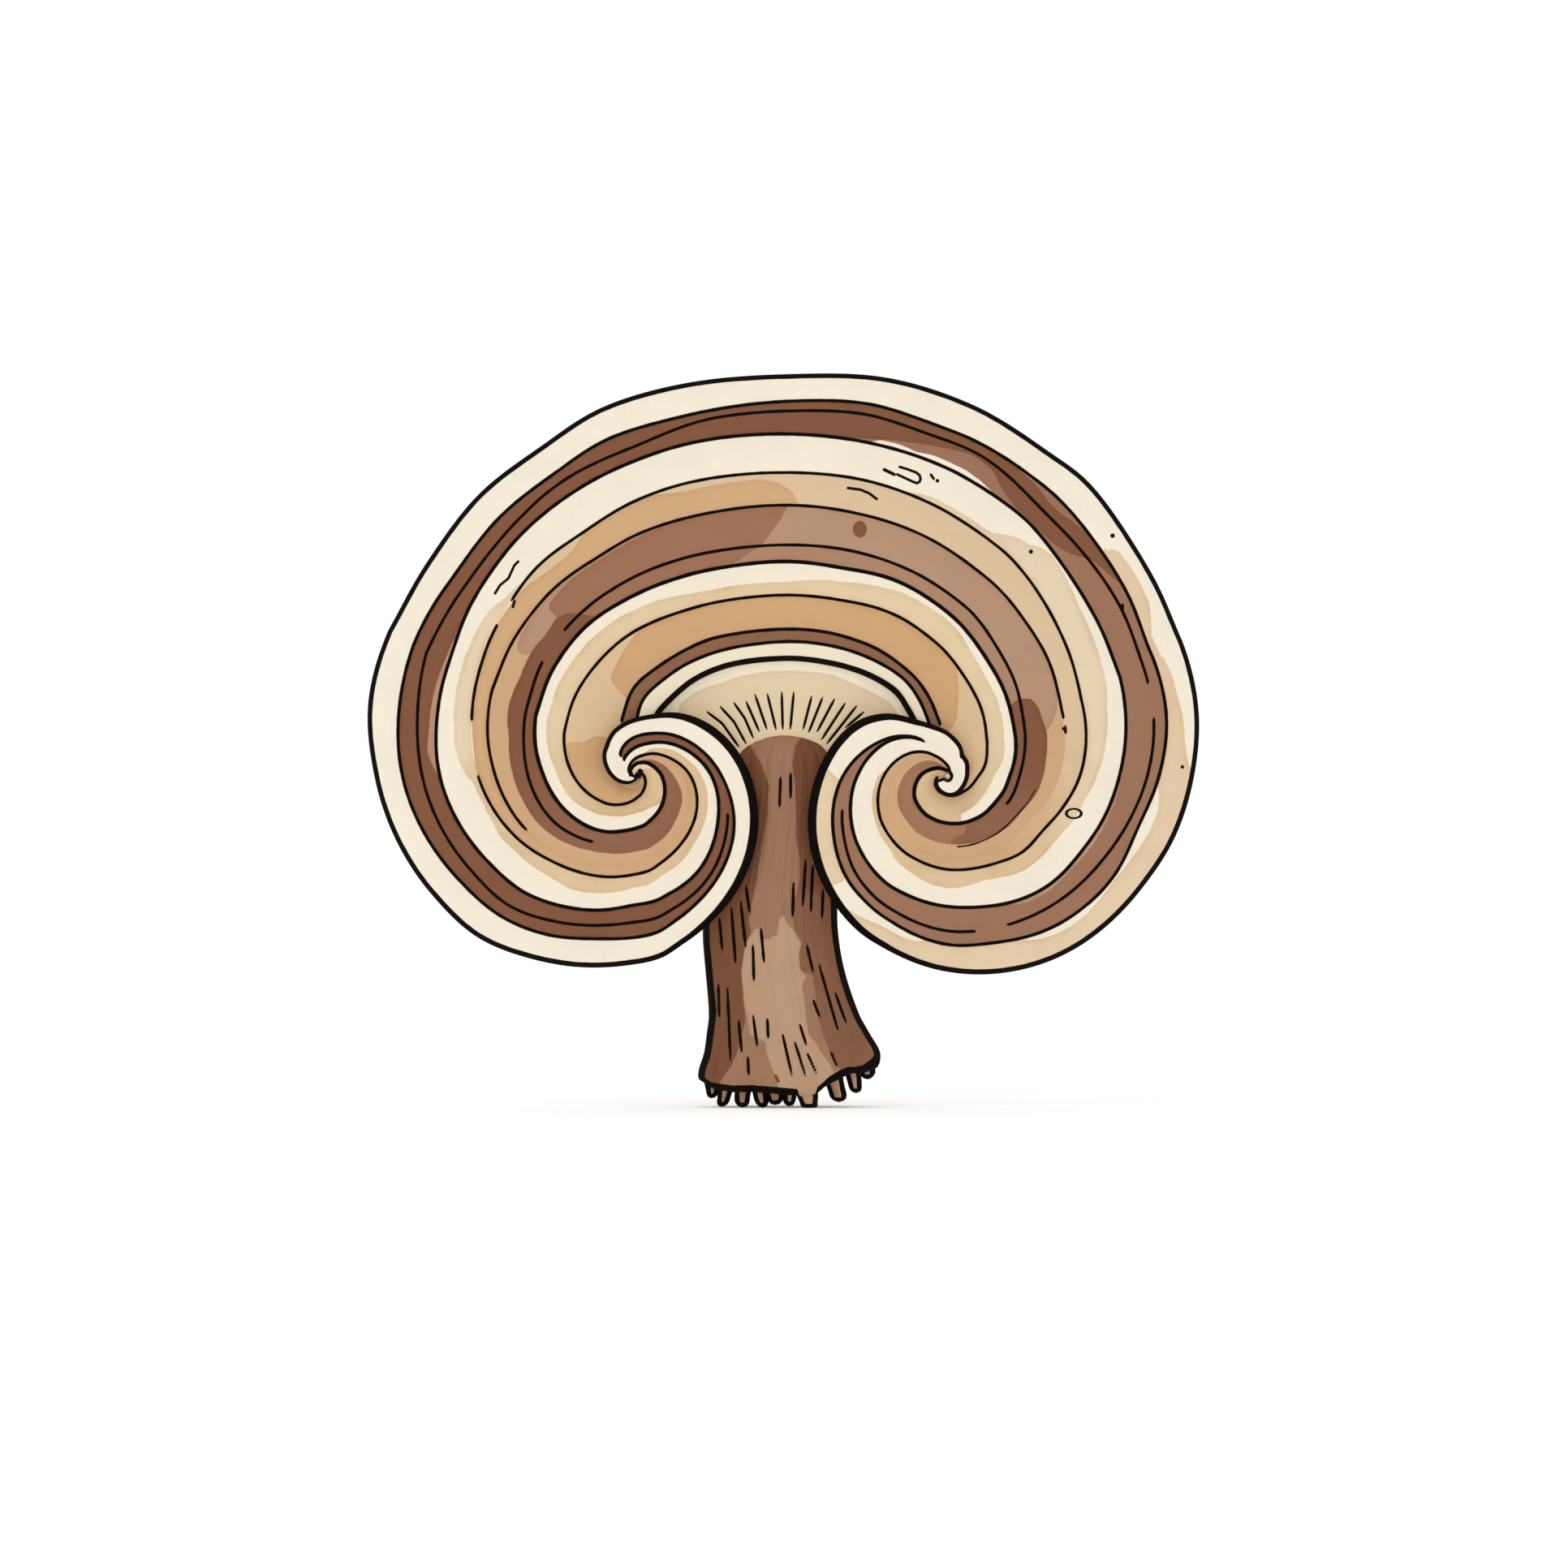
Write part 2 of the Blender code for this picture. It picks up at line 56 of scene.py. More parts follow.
# The scrolls: the middle of each eye (x, z), and how far from it the margin lies at some turns round it.
LEFT_EYE = Vector((-14.0, 32.1))
RIGHT_EYE = Vector((15.8, 31.95))
EYE_RADIUS = 0.3
LEFT_MARGIN = (
    (60, 27.8), (75, 26.9), (90, 25.4), (120, 22.9), (135, 21.9), (150, 20.3), (165, 19.0), (176, 18.2),
    (187, 17.55), (195, 16.6), (210, 15.2), (240, 12.7), (270, 10.4), (300, 8.4), (330, 6.7), (345, 5.9),
    (360, 5.4), (390, 4.75), (408, 4.13), (420, 3.8), (446, 2.77), (465, 2.05), (485, 1.36), (507, 0.75),
    (525, 0.5),
)
RIGHT_MARGIN = (
    (60, 26.1), (75, 25.0), (90, 23.7), (105, 22.6), (120, 21.5), (150, 20.2), (180, 18.6), (200, 17.4),
    (210, 16.9), (240, 14.7), (270, 12.3), (300, 10.0), (315, 8.3), (330, 6.2), (345, 4.95), (360, 4.2),
    (370, 3.7), (384, 3.1), (396, 2.5), (404, 2.38), (412, 2.32), (434, 2.0), (460, 1.81), (489, 1.76),
    (515, 1.81), (533, 1.78), (556, 1.63), (585, 1.43), (607, 1.2), (615, 1.05),
)
# The arch: the turn of a section (left of the top is negative), its inner edge (x, z) and margin (x, z).
ARCH = (
    (-50, (-13.2, 34.9), (-34.4, 52.5)),
    (-40, (-12.4, 37.5), (-29.5, 59.0)),
    (-30, (-11.1, 39.2), (-23.5, 63.7)),
    (-20, (-8.4, 41.4), (-17.3, 67.6)),
    (-10, (-4.7, 42.8), (-9.1, 69.9)),
    (0, (0.3, 43.3), (0.3, 70.7)),
    (10, (4.3, 42.9), (9.8, 70.4)),
    (20, (7.8, 41.9), (18.4, 67.7)),
    (30, (10.6, 40.3), (25.5, 63.3)),
    (40, (12.0, 38.4), (30.2, 59.4)),
    (50, (13.7, 35.2), (35.4, 51.6)),
)
ARCH_END = 60
# Past this turn the two innermost bands have run out.
SCROLL_START = 75
SCROLL_LAST_ZONE = 8.9
FAN_ENDS = (-525, 615)

BANDS = 11
# The lines are evened out over this many degrees to either side, and keep this much room between them.
LINE_EVENING = 3.0
LINE_ROOM = 0.01
# Where the growth lines lie at some turns, as parts of the way from the margin to the inner edge.
GROWTH_LINES = (
    (-525, (0.55, 0.56, 0.57, 0.93, 0.94, 0.95, 0.96, 0.97, 0.98, 0.99)),
    (-465, (0.55, 0.56, 0.57, 0.93, 0.94, 0.945, 0.955, 0.97, 0.98, 0.99)),
    (-450, (0.55, 0.56, 0.57, 0.855, 0.86, 0.865, 0.875, 0.97, 0.98, 0.99)),
    (-420, (0.50, 0.53, 0.56, 0.785, 0.80, 0.82, 0.838, 0.97, 0.98, 0.99)),
    (-390, (0.385, 0.46, 0.56, 0.76, 0.79, 0.815, 0.845, 0.97, 0.98, 0.99)),
    (-360, (0.315, 0.40, 0.51, 0.716, 0.75, 0.79, 0.83, 0.97, 0.98, 0.99)),
    (-330, (0.32, 0.39, 0.475, 0.675, 0.72, 0.77, 0.83, 0.97, 0.98, 0.99)),
    (-300, (0.292, 0.34, 0.41, 0.62, 0.68, 0.75, 0.83, 0.991, 0.994, 0.997)),
    (-270, (0.24, 0.26, 0.335, 0.538, 0.61, 0.71, 0.812, 0.983, 0.988, 0.993)),
    (-240, (0.167, 0.228, 0.31, 0.50, 0.57, 0.68, 0.787, 0.966, 0.98, 0.99)),
    (-210, (0.14, 0.195, 0.28, 0.49, 0.55, 0.66, 0.755, 0.937, 0.97, 0.985)),
    (-180, (0.133, 0.217, 0.312, 0.479, 0.545, 0.65, 0.731, 0.90, 0.955, 0.98)),
    (-165, (0.142, 0.213, 0.295, 0.472, 0.537, 0.642, 0.718, 0.876, 0.947, 0.977)),
    (-150, (0.126, 0.20, 0.284, 0.47, 0.53, 0.635, 0.70, 0.852, 0.94, 0.975)),
    (-135, (0.13, 0.191, 0.28, 0.469, 0.52, 0.626, 0.691, 0.83, 0.935, 0.97)),
    (-120, (0.123, 0.19, 0.271, 0.438, 0.492, 0.603, 0.675, 0.808, 0.93, 0.965)),
    (-90, (0.10, 0.177, 0.245, 0.393, 0.46, 0.586, 0.646, 0.76, 0.92, 0.96)),
    (-75, (0.109, 0.179, 0.252, 0.384, 0.444, 0.58, 0.625, 0.738, 0.91, 0.955)),
    (-60, (0.096, 0.149, 0.237, 0.353, 0.416, 0.555, 0.594, 0.71, 0.90, 0.95)),
    (-56, (0.088, 0.145, 0.221, 0.334, 0.407, 0.541, 0.583, 0.696, 0.89, 0.946)),
    (-50, (0.099, 0.151, 0.203, 0.322, 0.399, 0.526, 0.572, 0.687, 0.88, 0.94)),
    (-40, (0.104, 0.16, 0.203, 0.323, 0.42, 0.549, 0.595, 0.715, 0.87, 0.923)),
    (-35, (0.102, 0.149, 0.197, 0.328, 0.427, 0.553, 0.603, 0.72, 0.873, 0.925)),
    (-30, (0.10, 0.137, 0.192, 0.332, 0.434, 0.557, 0.612, 0.724, 0.877, 0.926)),
    (-20, (0.103, 0.166, 0.213, 0.343, 0.454, 0.587, 0.647, 0.762, 0.893, 0.938)),
    (-15, (0.108, 0.158, 0.208, 0.34, 0.458, 0.592, 0.652, 0.769, 0.89, 0.94)),
    (-10, (0.105, 0.134, 0.204, 0.34, 0.46, 0.597, 0.658, 0.774, 0.895, 0.942)),
    (0, (0.088, 0.123, 0.204, 0.341, 0.456, 0.597, 0.655, 0.774, 0.894, 0.938)),
    (10, (0.093, 0.131, 0.228, 0.357, 0.475, 0.605, 0.67, 0.779, 0.896, 0.939)),
    (15, (0.108, 0.148, 0.23, 0.363, 0.477, 0.607, 0.662, 0.774, 0.901, 0.941)),
    (20, (0.104, 0.14, 0.232, 0.368, 0.48, 0.609, 0.661, 0.771, 0.903, 0.944)),
    (25, (0.10, 0.138, 0.233, 0.371, 0.481, 0.609, 0.663, 0.771, 0.91, 0.945)),
    (30, (0.099, 0.158, 0.232, 0.371, 0.483, 0.61, 0.665, 0.775, 0.915, 0.946)),
    (35, (0.107, 0.176, 0.241, 0.375, 0.484, 0.609, 0.666, 0.772, 0.913, 0.946)),
    (40, (0.111, 0.177, 0.25, 0.378, 0.479, 0.607, 0.664, 0.767, 0.91, 0.944)),
    (45, (0.105, 0.158, 0.247, 0.376, 0.471, 0.607, 0.66, 0.761, 0.911, 0.95)),
    (50, (0.103, 0.149, 0.247, 0.386, 0.466, 0.608, 0.658, 0.759, 0.925, 0.96)),
    (56, (0.117, 0.156, 0.255, 0.407, 0.49, 0.643, 0.686, 0.796, 0.93, 0.965)),
    (60, (0.12, 0.166, 0.264, 0.432, 0.516, 0.676, 0.717, 0.84, 0.935, 0.965)),
    (75, (0.122, 0.174, 0.288, 0.45, 0.531, 0.702, 0.739, 0.862, 0.94, 0.97)),
    (90, (0.137, 0.186, 0.302, 0.466, 0.545, 0.716, 0.756, 0.886, 0.945, 0.97)),
    (105, (0.158, 0.207, 0.312, 0.496, 0.567, 0.719, 0.762, 0.898, 0.95, 0.975)),
    (120, (0.128, 0.215, 0.316, 0.516, 0.59, 0.721, 0.768, 0.905, 0.95, 0.975)),
    (135, (0.128, 0.223, 0.313, 0.514, 0.595, 0.72, 0.769, 0.913, 0.953, 0.978)),
    (150, (0.137, 0.227, 0.324, 0.533, 0.60, 0.72, 0.772, 0.915, 0.955, 0.98)),
    (165, (0.147, 0.218, 0.336, 0.535, 0.595, 0.715, 0.772, 0.916, 0.96, 0.982)),
    (180, (0.131, 0.203, 0.332, 0.527, 0.59, 0.71, 0.771, 0.92, 0.965, 0.985)),
    (210, (0.14, 0.198, 0.305, 0.514, 0.58, 0.70, 0.765, 0.921, 0.97, 0.985)),
    (225, (0.133, 0.199, 0.297, 0.505, 0.575, 0.695, 0.764, 0.923, 0.97, 0.985)),
    (240, (0.148, 0.22, 0.291, 0.496, 0.57, 0.69, 0.765, 0.926, 0.97, 0.985)),
    (270, (0.183, 0.245, 0.297, 0.51, 0.59, 0.72, 0.802, 0.945, 0.975, 0.987)),
    (300, (0.30, 0.32, 0.34, 0.578, 0.66, 0.80, 0.873, 0.96, 0.975, 0.987)),
    (330, (0.388, 0.391, 0.394, 0.663, 0.76, 0.86, 0.91, 0.96, 0.975, 0.987)),
    (360, (0.45, 0.455, 0.46, 0.81, 0.86, 0.90, 0.93, 0.96, 0.975, 0.987)),
    (390, (0.45, 0.455, 0.46, 0.92, 0.93, 0.94, 0.95, 0.97, 0.98, 0.99)),
    (615, (0.45, 0.455, 0.46, 0.93, 0.94, 0.95, 0.96, 0.97, 0.98, 0.99)),
)
# The dark stretches of each growth line: first and last turn, and width. Elsewhere the line is bare.
LINE_INK = {
    1: ((-402, 323, 0.34),),
    2: ((-246, 65, 0.31), (74, 158, 0.31), (170, 252, 0.31)),
    3: ((-402, 326, 0.36),),
    4: ((-455, -90, 0.31), (-72, -50.5, 0.31), (-46, 600, 0.31)),
    5: ((-116, 63, 0.31), (67, 69.5, 0.3)),
    6: ((-145, -50.5, 0.31), (-43, 114, 0.31)),
    7: ((-470, 355, 0.39),),
    8: ((-350, 265, 0.31),),
    9: ((-49, 48.5, 0.34),),
    10: ((-46, 47, 0.34),),
}
# One more dark line edges the brown strip of the right scroll: first turn, last turn, width and band.
STRIP_INK = (98, 172, 0.24, 5.48)
# How far on the next section is looked at to find how a line runs, and the least allowed for its slant.
PACE_STEP = 0.5
LEAST_SQUARENESS = 0.3
# The width of the dark line round the margin at some turns. It is heavier where the scrolls lie over the
# throat.
MARGIN_INK = (
    (-525, 0.36), (-480, 0.42), (-350, 0.47), (-330, 0.6), (-305, 0.82), (-240, 0.86), (-215, 0.75),
    (-195, 0.54), (-60, 0.5), (60, 0.5), (195, 0.54), (215, 0.75), (240, 0.86), (305, 0.8), (325, 0.58),
    (345, 0.47), (615, 0.42),
)
INNER_EDGE_INK = 0.6
END_INK = 0.3
# The arch's inner edge lies this far beyond the middle of the dark line along it, and less over its last
# degrees.
INNER_OUTSET = 0.25
OUTSET_FADE = 8

# The depth of the face at the inner edge, how far it comes forward with each whole turn round an eye, and
# how far the margin is swept back. Between them the face is crowned, and the margin is waved.
RIM_FRONT = -1.2
SCROLL_PITCH = 2.3
SWEEP_BACK = (
    (0, 3.2), (60, 3.0), (90, 2.6), (150, 1.5), (180, 0.8), (210, 0.2), (240, 0.0), (615, 0.0),
)
CROWN = 0.45
MARGIN_WAVE = 0.4
RIPPLES = ((-525, 0.0), (-60, 3.6), (60, 6.0), (615, 10.3))
# Sections shorter than this have less of the crown and the waves.
FULL_FORM_LENGTH = 18
RIM_THICKNESS = (
    (0, 3.0), (30, 2.7), (60, 2.0), (120, 1.7), (330, 1.5), (420, 1.35), (525, 1.1), (615, 1.0),
)
MARGIN_THICKNESS = 1.5
EDGE_ROUNDING = 0.6
EDGE_ROUNDING_SHARE = 0.16
# Round the eyes the inner edge is finer than that of the arch by this factor, which sets in over some
# degrees.
EYE_EDGE_FINENESS = 0.13
EYE_EDGE_START = 30
EDGE_FULLNESS = 0.7
# Each band swells a little between its growth lines, and each line is a shallow groove.
BAND_SWELL = (0.26, 0.1, 0.14, 0.28, 0.2, 0.26, 0.14, 0.26, 0.26, 0.16, 0.14)
FULL_SWELL_WIDTH = 2.2
GROOVE_DEPTH = 0.07
GROOVE_WIDTH = 0.15
# The rows across a band that lie close by its lines, as (distance, largest part of the band's width).
CLOSE_ROW = (0.13, 0.12)
NEAR_ROW = (0.3, 0.25)
# How finely it is drawn: degrees between sections, and rows on an edge and on the back.
SCROLL_STEP = 1.62
ARCH_STEP = 0.6
EDGE_ROWS = 6
BACK_ROWS = 10


def curve_through(keys, t):
    """A smooth curve (Catmull-Rom) through (parameter, value) keys; values are numbers or vectors."""
    last = len(keys) - 1
    i = 0
    while i < last - 1 and t > keys[i + 1][0]:
        i += 1
    (t1, p1), (t2, p2) = keys[i], keys[i + 1]
    t0, p0 = keys[i - 1] if i > 0 else (2 * t1 - t2, 2 * p1 - p2)
    t3, p3 = keys[i + 2] if i + 2 <= last else (2 * t2 - t1, 2 * p2 - p1)
    span = t2 - t1
    slope1 = (p2 - p0) * (span / (t2 - t0))
    slope2 = (p3 - p1) * (span / (t3 - t1))
    f = (t - t1) / span
    return (
        p1 * (2 * f**3 - 3 * f**2 + 1)
        + slope1 * (f**3 - 2 * f**2 + f)
        + p2 * (3 * f**2 - 2 * f**3)
        + slope2 * (f**3 - f**2)
    )


def straight_through(keys, t):
    """Straight runs through (parameter, value) keys, held at both ends."""
    if t <= keys[0][0]:
        return keys[0][1]
    for (t1, v1), (t2, v2) in zip(keys, keys[1:]):
        if t <= t2:
            return v1 + (v2 - v1) * ((t - t1) / (t2 - t1))
    return keys[-1][1]


def smooth(x):
    x = min(max(x, 0.0), 1.0)
    return x * x * (3 - 2 * x)


def scroll_section(eye, margin, side, turn):
    angle = math.radians(turn)
    ray = Vector((side * math.sin(angle), math.cos(angle)))
    return eye + ray * EYE_RADIUS, eye + ray * curve_through(margin, turn)


ARCH_KEYS = (
    (-ARCH_END, *scroll_section(LEFT_EYE, LEFT_MARGIN, -1, ARCH_END)),
    *((turn, Vector(inner), Vector(outer)) for turn, inner, outer in ARCH),
    (ARCH_END, *scroll_section(RIGHT_EYE, RIGHT_MARGIN, 1, ARCH_END)),
)
INNER_KEYS = [(turn, inner) for turn, inner, outer in ARCH_KEYS]
OUTER_KEYS = [(turn, outer) for turn, inner, outer in ARCH_KEYS]
LINE_KEYS = [(turn, Vector(shares)) for turn, shares in GROWTH_LINES]
SCROLL_LINE_KEYS = {
    -1: [key for key in LINE_KEYS if key[0] <= -ARCH_END],
    0: [key for key in LINE_KEYS if abs(key[0]) <= ARCH_END],
    1: [key for key in LINE_KEYS if key[0] >= ARCH_END],
}


def fan_section(turn):
    """The inner edge and the margin, (x, z), of the section at a turn that is negative on the left."""
    if turn <= -ARCH_END:
        return scroll_section(LEFT_EYE, LEFT_MARGIN, -1, -turn)
    if turn >= ARCH_END:
        return scroll_section(RIGHT_EYE, RIGHT_MARGIN, 1, turn)
    return curve_through(INNER_KEYS, turn), curve_through(OUTER_KEYS, turn)


def line_shares(turn):
    """The growth lines of a section, evened out a little. The arch and each scroll have their own curves."""
    side = 0 if abs(turn) < ARCH_END else int(math.copysign(1, turn))
    keys = SCROLL_LINE_KEYS[side]
    room = min(LINE_EVENING, turn - keys[0][0], keys[-1][0] - turn)
    near = [curve_through(keys, turn + room * share) for share in (-1, -0.5, 0, 0.5, 1)]
    return sum(near, Vector([0] * (BANDS - 1))) / len(near)


def nearest_stretch(stretches, turn):
    """How many degrees past the nearest dark stretch of a line a turn lies, and the pen of that stretch."""
    return min((max(first - turn, turn - last, 0.0), pen) for first, last, pen in stretches)


def up_to(last, *keys):
    """A wash that ends at one place all along, given by its turns and where it begins at each."""
    return tuple((turn, first, last) for turn, first in keys)


# Washes of colour in the bands: at some turns, where a wash begins and ends, in bands from the margin.
WASHES = {
    "tan": (
        ((44.5, 1.0, 1.0), (46, 0.55, 1.0), (49, 0.48, 1.0), (53, 0.5, 1.0), (57, 0.74, 1.0),
         (60, 0.7, 1.0), (75, 0.52, 1.0), (82, 0.4, 1.0), (88, 0.2, 1.0), (91, -1, 1.05), (95, -1, 0.82),
         (99, -1, 0.7), (105, -1, 0.67), (113, -1, 0.8), (120, -1, 0.9), (128, -1, 0.87), (135, -1, 0.78),
         (141, -1, 0.74), (150, -1, 0.8), (155, -1, 0.92), (159, -1, 1.05), (187, -1, 1.05),
         (190, -1, 0.82), (196, -1, 0.72), (205, -1, 0.66), (211, -1, 0.5), (217, -1, 0.32),
         (222, -1, -0.3)),
        ((224, 1.0, 1.0), (232, -1, 1.05), (267, -1, 1.05), (274, -1, 0.3), (276, -1, -0.3)),
        up_to(4.0, (-350, 3.9), (-335, 3.5), (-300, 3.43), (-262, 3.45), (-245, 3.52), (-225, 3.62),
              (-195, 3.62), (-183, 3.54), (-155, 3.47), (-148, 3.5), (-140, 3.63), (-115, 3.71),
              (-100, 3.8), (-93, 3.77), (-86, 3.6), (-80, 3.5), (-58, 3.42), (-53, 3.5), (-49, 3.6),
              (-46, 3.78), (-43, 3.92), (-41, 4.0)),
        up_to(4.0, (15, 4.0), (18, 3.87), (21, 3.8), (28, 3.83), (31, 3.7), (34, 3.5), (37, 3.4), (39, 3.2),
              (41, 3.08), (44, 3.1), (47, 3.22), (55, 3.28), (66, 3.42), (82, 3.53), (100, 3.63),
              (140, 3.6), (160, 3.68), (172, 3.56), (180, 3.5), (188, 3.52), (213, 3.68), (222, 3.77),
              (270, 3.8), (282, 4.0)),
        up_to(8.0, (-470, 6.9), (-222, 6.9), (-214, 7.1), (-197, 7.35), (-180, 7.48), (-145, 7.57),
              (-110, 7.43), (-85, 7.48), (-57, 7.38), (-30, 7.37), (-22, 7.46), (-15, 7.57), (-10, 7.6),
              (0, 7.58), (6, 7.46), (15, 7.35), (22, 7.25), (30, 7.2), (38, 7.25), (46, 7.34), (90, 7.49),
              (110, 7.48), (150, 7.36), (161, 7.3), (163, 6.9), (372, 6.9)),
    ),
    "dark": (
        ((-402, 1.0, 3.0), (-92, 1.0, 3.0), (-84, 1.0, 2.5), (-76, 1.0, 2.6), (-57, 1.0, 2.85),
         (-53, 1.0, 3.0), (6, 1.0, 3.0), (11, 1.0, 2.8), (17, 1.0, 2.4), (22, 1.0, 2.15), (25, 1.0, 2.2),
         (28, 1.1, 2.65), (31, 1.25, 2.88), (35, 1.43, 2.93), (38, 1.45, 2.88), (41, 1.25, 2.7),
         (43, 1.05, 2.4), (45, 1.0, 1.9), (48, 1.0, 1.3), (50, 1.0, 1.0)),
        ((-43, 5.35, 5.6), (-42, 5.22, 5.72), (-40, 5.15, 5.85), (-37.5, 5.12, 6.2), (-36, 5.1, 7.0),
         (-20, 5.07, 7.0), (-12, 5.0, 7.0), (-8, 5.0, 7.0), (-4, 5.0, 6.1), (-1, 5.0, 5.4),
         (0.5, 5.0, 5.0)),
        up_to(7.0, (150, 5.5), (180, 5.6), (285, 5.58), (300, 5.52), (330, 5.4), (350, 5.5)),
    ),
    "strip": (
        up_to(7.0, (-330, 6.3), (-322, 6.0), (-280, 5.93), (-268, 5.85), (-258, 5.72), (-247, 5.58),
              (-235, 5.53), (-195, 5.51), (-160, 5.6), (-145, 5.55), (-110, 5.52), (-75, 5.58), (-60, 5.53),
              (-50, 5.6), (-46.5, 5.68), (-43, 5.62), (-41, 5.72), (-39, 5.95), (-37, 6.5), (-36, 7.0)),
        ((53.5, 6.4, 6.9), (54, 6.0, 7.0), (55, 5.72, 7.0), (57, 5.57, 7.0), (60, 5.5, 7.0),
         (66, 5.45, 7.0), (118, 5.42, 7.0), (152, 5.52, 7.0), (158, 5.53, 6.9), (161, 5.54, 6.3),
         (164, 5.55, 6.03), (170, 5.58, 5.95), (175, 5.62, 5.85), (178.5, 5.72, 5.76)),
    ),
    "rose": (
        ((-51.7, 5.25, 5.45), (-51, 5.15, 5.55), (-49, 5.08, 5.65), (-46, 5.05, 5.75), (-43, 5.03, 7.0),
         (56, 5.0, 7.0), (58, 5.05, 7.0), (60, 5.15, 7.0), (63, 5.32, 7.0), (66, 5.47, 7.0)),
        up_to(3.0, (-90, 2.9), (-84, 2.5), (-76, 2.6), (-57, 2.85), (-53, 3.0)),
        up_to(3.0, (85, 3.0), (95, 2.88), (110, 2.8), (130, 2.8), (147, 2.68), (152, 2.85), (154, 3.0)),
    ),
    "bloom": (
        up_to(5.0, (-470, 4.0), (-48, 4.0), (-45, 4.05), (-42.5, 4.15), (-40.5, 4.3), (-38, 4.36),
              (-34, 4.36), (-31.5, 4.2), (-29.5, 4.02), (-22, 4.0), (-17, 4.07), (-13, 4.22), (-4, 4.2),
              (-1, 4.32), (0.8, 4.6), (1.8, 5.0)),
        ((-470, 8.0, 11.5), (-110, 8.0, 11.5), (-100, 8.0, 9.0), (-68, 8.0, 9.0), (-62, 8.25, 9.0),
         (-57, 8.6, 9.0), (-54, 9.0, 9.0)),
        ((-43.5, 8.6, 8.9), (-42.5, 8.42, 9.0), (-40, 8.35, 9.0), (-35, 8.22, 9.0), (-30, 8.08, 9.0),
         (-26, 8.02, 9.0), (42, 8.02, 9.0), (46, 8.3, 9.0), (50, 8.6, 9.0), (52, 9.0, 9.0)),
    ),
    "peach": (
        ((-480, 7.0, 11.5), (-400, 7.0, 11.5), (-380, 7.0, 8.0), (-330, 7.0, 8.0), (-290, 7.0, 7.0)),
        ((335, 7.0, 7.0), (350, 7.0, 8.0), (372, 7.0, 11.5), (600, 7.0, 11.5)),
    ),
    "pale": (
        up_to(3.0, (9.5, 3.0), (11, 2.78), (13, 2.75), (15.5, 2.84), (19, 2.73), (22.5, 2.73), (25, 2.84),
              (27.5, 3.0)),
        ((-525, -1, 11.5), (-462, -1, 11.5), (-455, -1, 4.0), (-403, -1, 4.0)),
        ((326, -1, 4.0), (372, -1, 4.0), (380, -1, 11.5), (615, -1, 11.5)),
    ),
}
# Outside every wash a place counts as this far outside the nearest one.
NO_WASH = -5.0


def across_bands(lines, zone):
    """The distance from the margin of a place given in bands."""
    if zone <= 0:
        return zone
    band = min(int(zone), len(lines) - 2)
    return lines[band] + (lines[band + 1] - lines[band]) * (zone - band)


def wash_reach(washes, turn, lines):
    """The stretches of the section at a turn that some washes cover, in distances from the margin."""
    found = []
    for keys in washes:
        if keys[0][0] <= turn <= keys[-1][0]:
            first = straight_through([(key[0], key[1]) for key in keys], turn)
            last = straight_through([(key[0], key[2]) for key in keys], turn)
            found.append((across_bands(lines, first), across_bands(lines, last)))
    return found


def wash_depth(reach, distance):
    """How far inside the nearest of some stretches a place lies, below 0 outside them all."""
    return max([min(distance - first, last - distance) for first, last in reach], default=NO_WASH)


def band_steps(width):
    """Distances of the rows across one band from its first line: close by its lines, wide between them."""
    close, near = (min(distance, part * width) for distance, part in (CLOSE_ROW, NEAR_ROW))
    middle = width / 2
    between = (near + middle) / 2
    return (0, close, near, between, middle, width - between, width - near, width - close)


def front_depth(turn, along, length):
    """The depth of the face, part of the way along a section from the margin to the inner edge."""
    form = min(1.0, length / FULL_FORM_LENGTH)
    inner = RIM_FRONT - SCROLL_PITCH * abs(turn) / 360
    wave = MARGIN_WAVE * form * math.sin(math.tau * straight_through(RIPPLES, turn))
    swept = straight_through(SWEEP_BACK, abs(turn)) + wave
    return inner + swept * (1 - along) ** 2 - CROWN * form * math.sin(math.pi * along)


def fan_thickness(turn, along):
    rim = straight_through(RIM_THICKNESS, abs(turn))
    margin = min(MARGIN_THICKNESS, rim)
    return margin + (rim - margin) * smooth(along)


def edge_roundings(turn, length):
    """How far the face is rounded over at the margin and at the inner edge."""
    margin = min(EDGE_ROUNDING, EDGE_ROUNDING_SHARE * length)
    round_eye = smooth((abs(turn) - ARCH_END) / EYE_EDGE_START)
    return margin, margin * (1 + (EYE_EDGE_FINENESS - 1) * round_eye)


def drawn_section(turn):
    """A section's margin (x, z), its direction inwards, and its lines as distances from the margin."""
    inner, outer = fan_section(turn)
    inward = (inner - outer).normalized()
    drawn = (inner - outer).length
    inner = inner + inward * INNER_OUTSET * smooth((ARCH_END - abs(turn)) / OUTSET_FADE)
    outset = straight_through(MARGIN_INK, turn) / 2 * min(1.0, drawn)
    outer = outer - inward * outset
    length = (inner - outer).length
    margin_rounding, inner_rounding = edge_roundings(turn, length)
    lines = [0.0]
    for share in line_shares(turn):
        distance = min(max(outset + share * drawn, margin_rounding), length - inner_rounding)
        lines.append(max(lines[-1] + LINE_ROOM, distance))
    lines.append(max(length, lines[-1] + LINE_ROOM))
    return outer, inward, lines


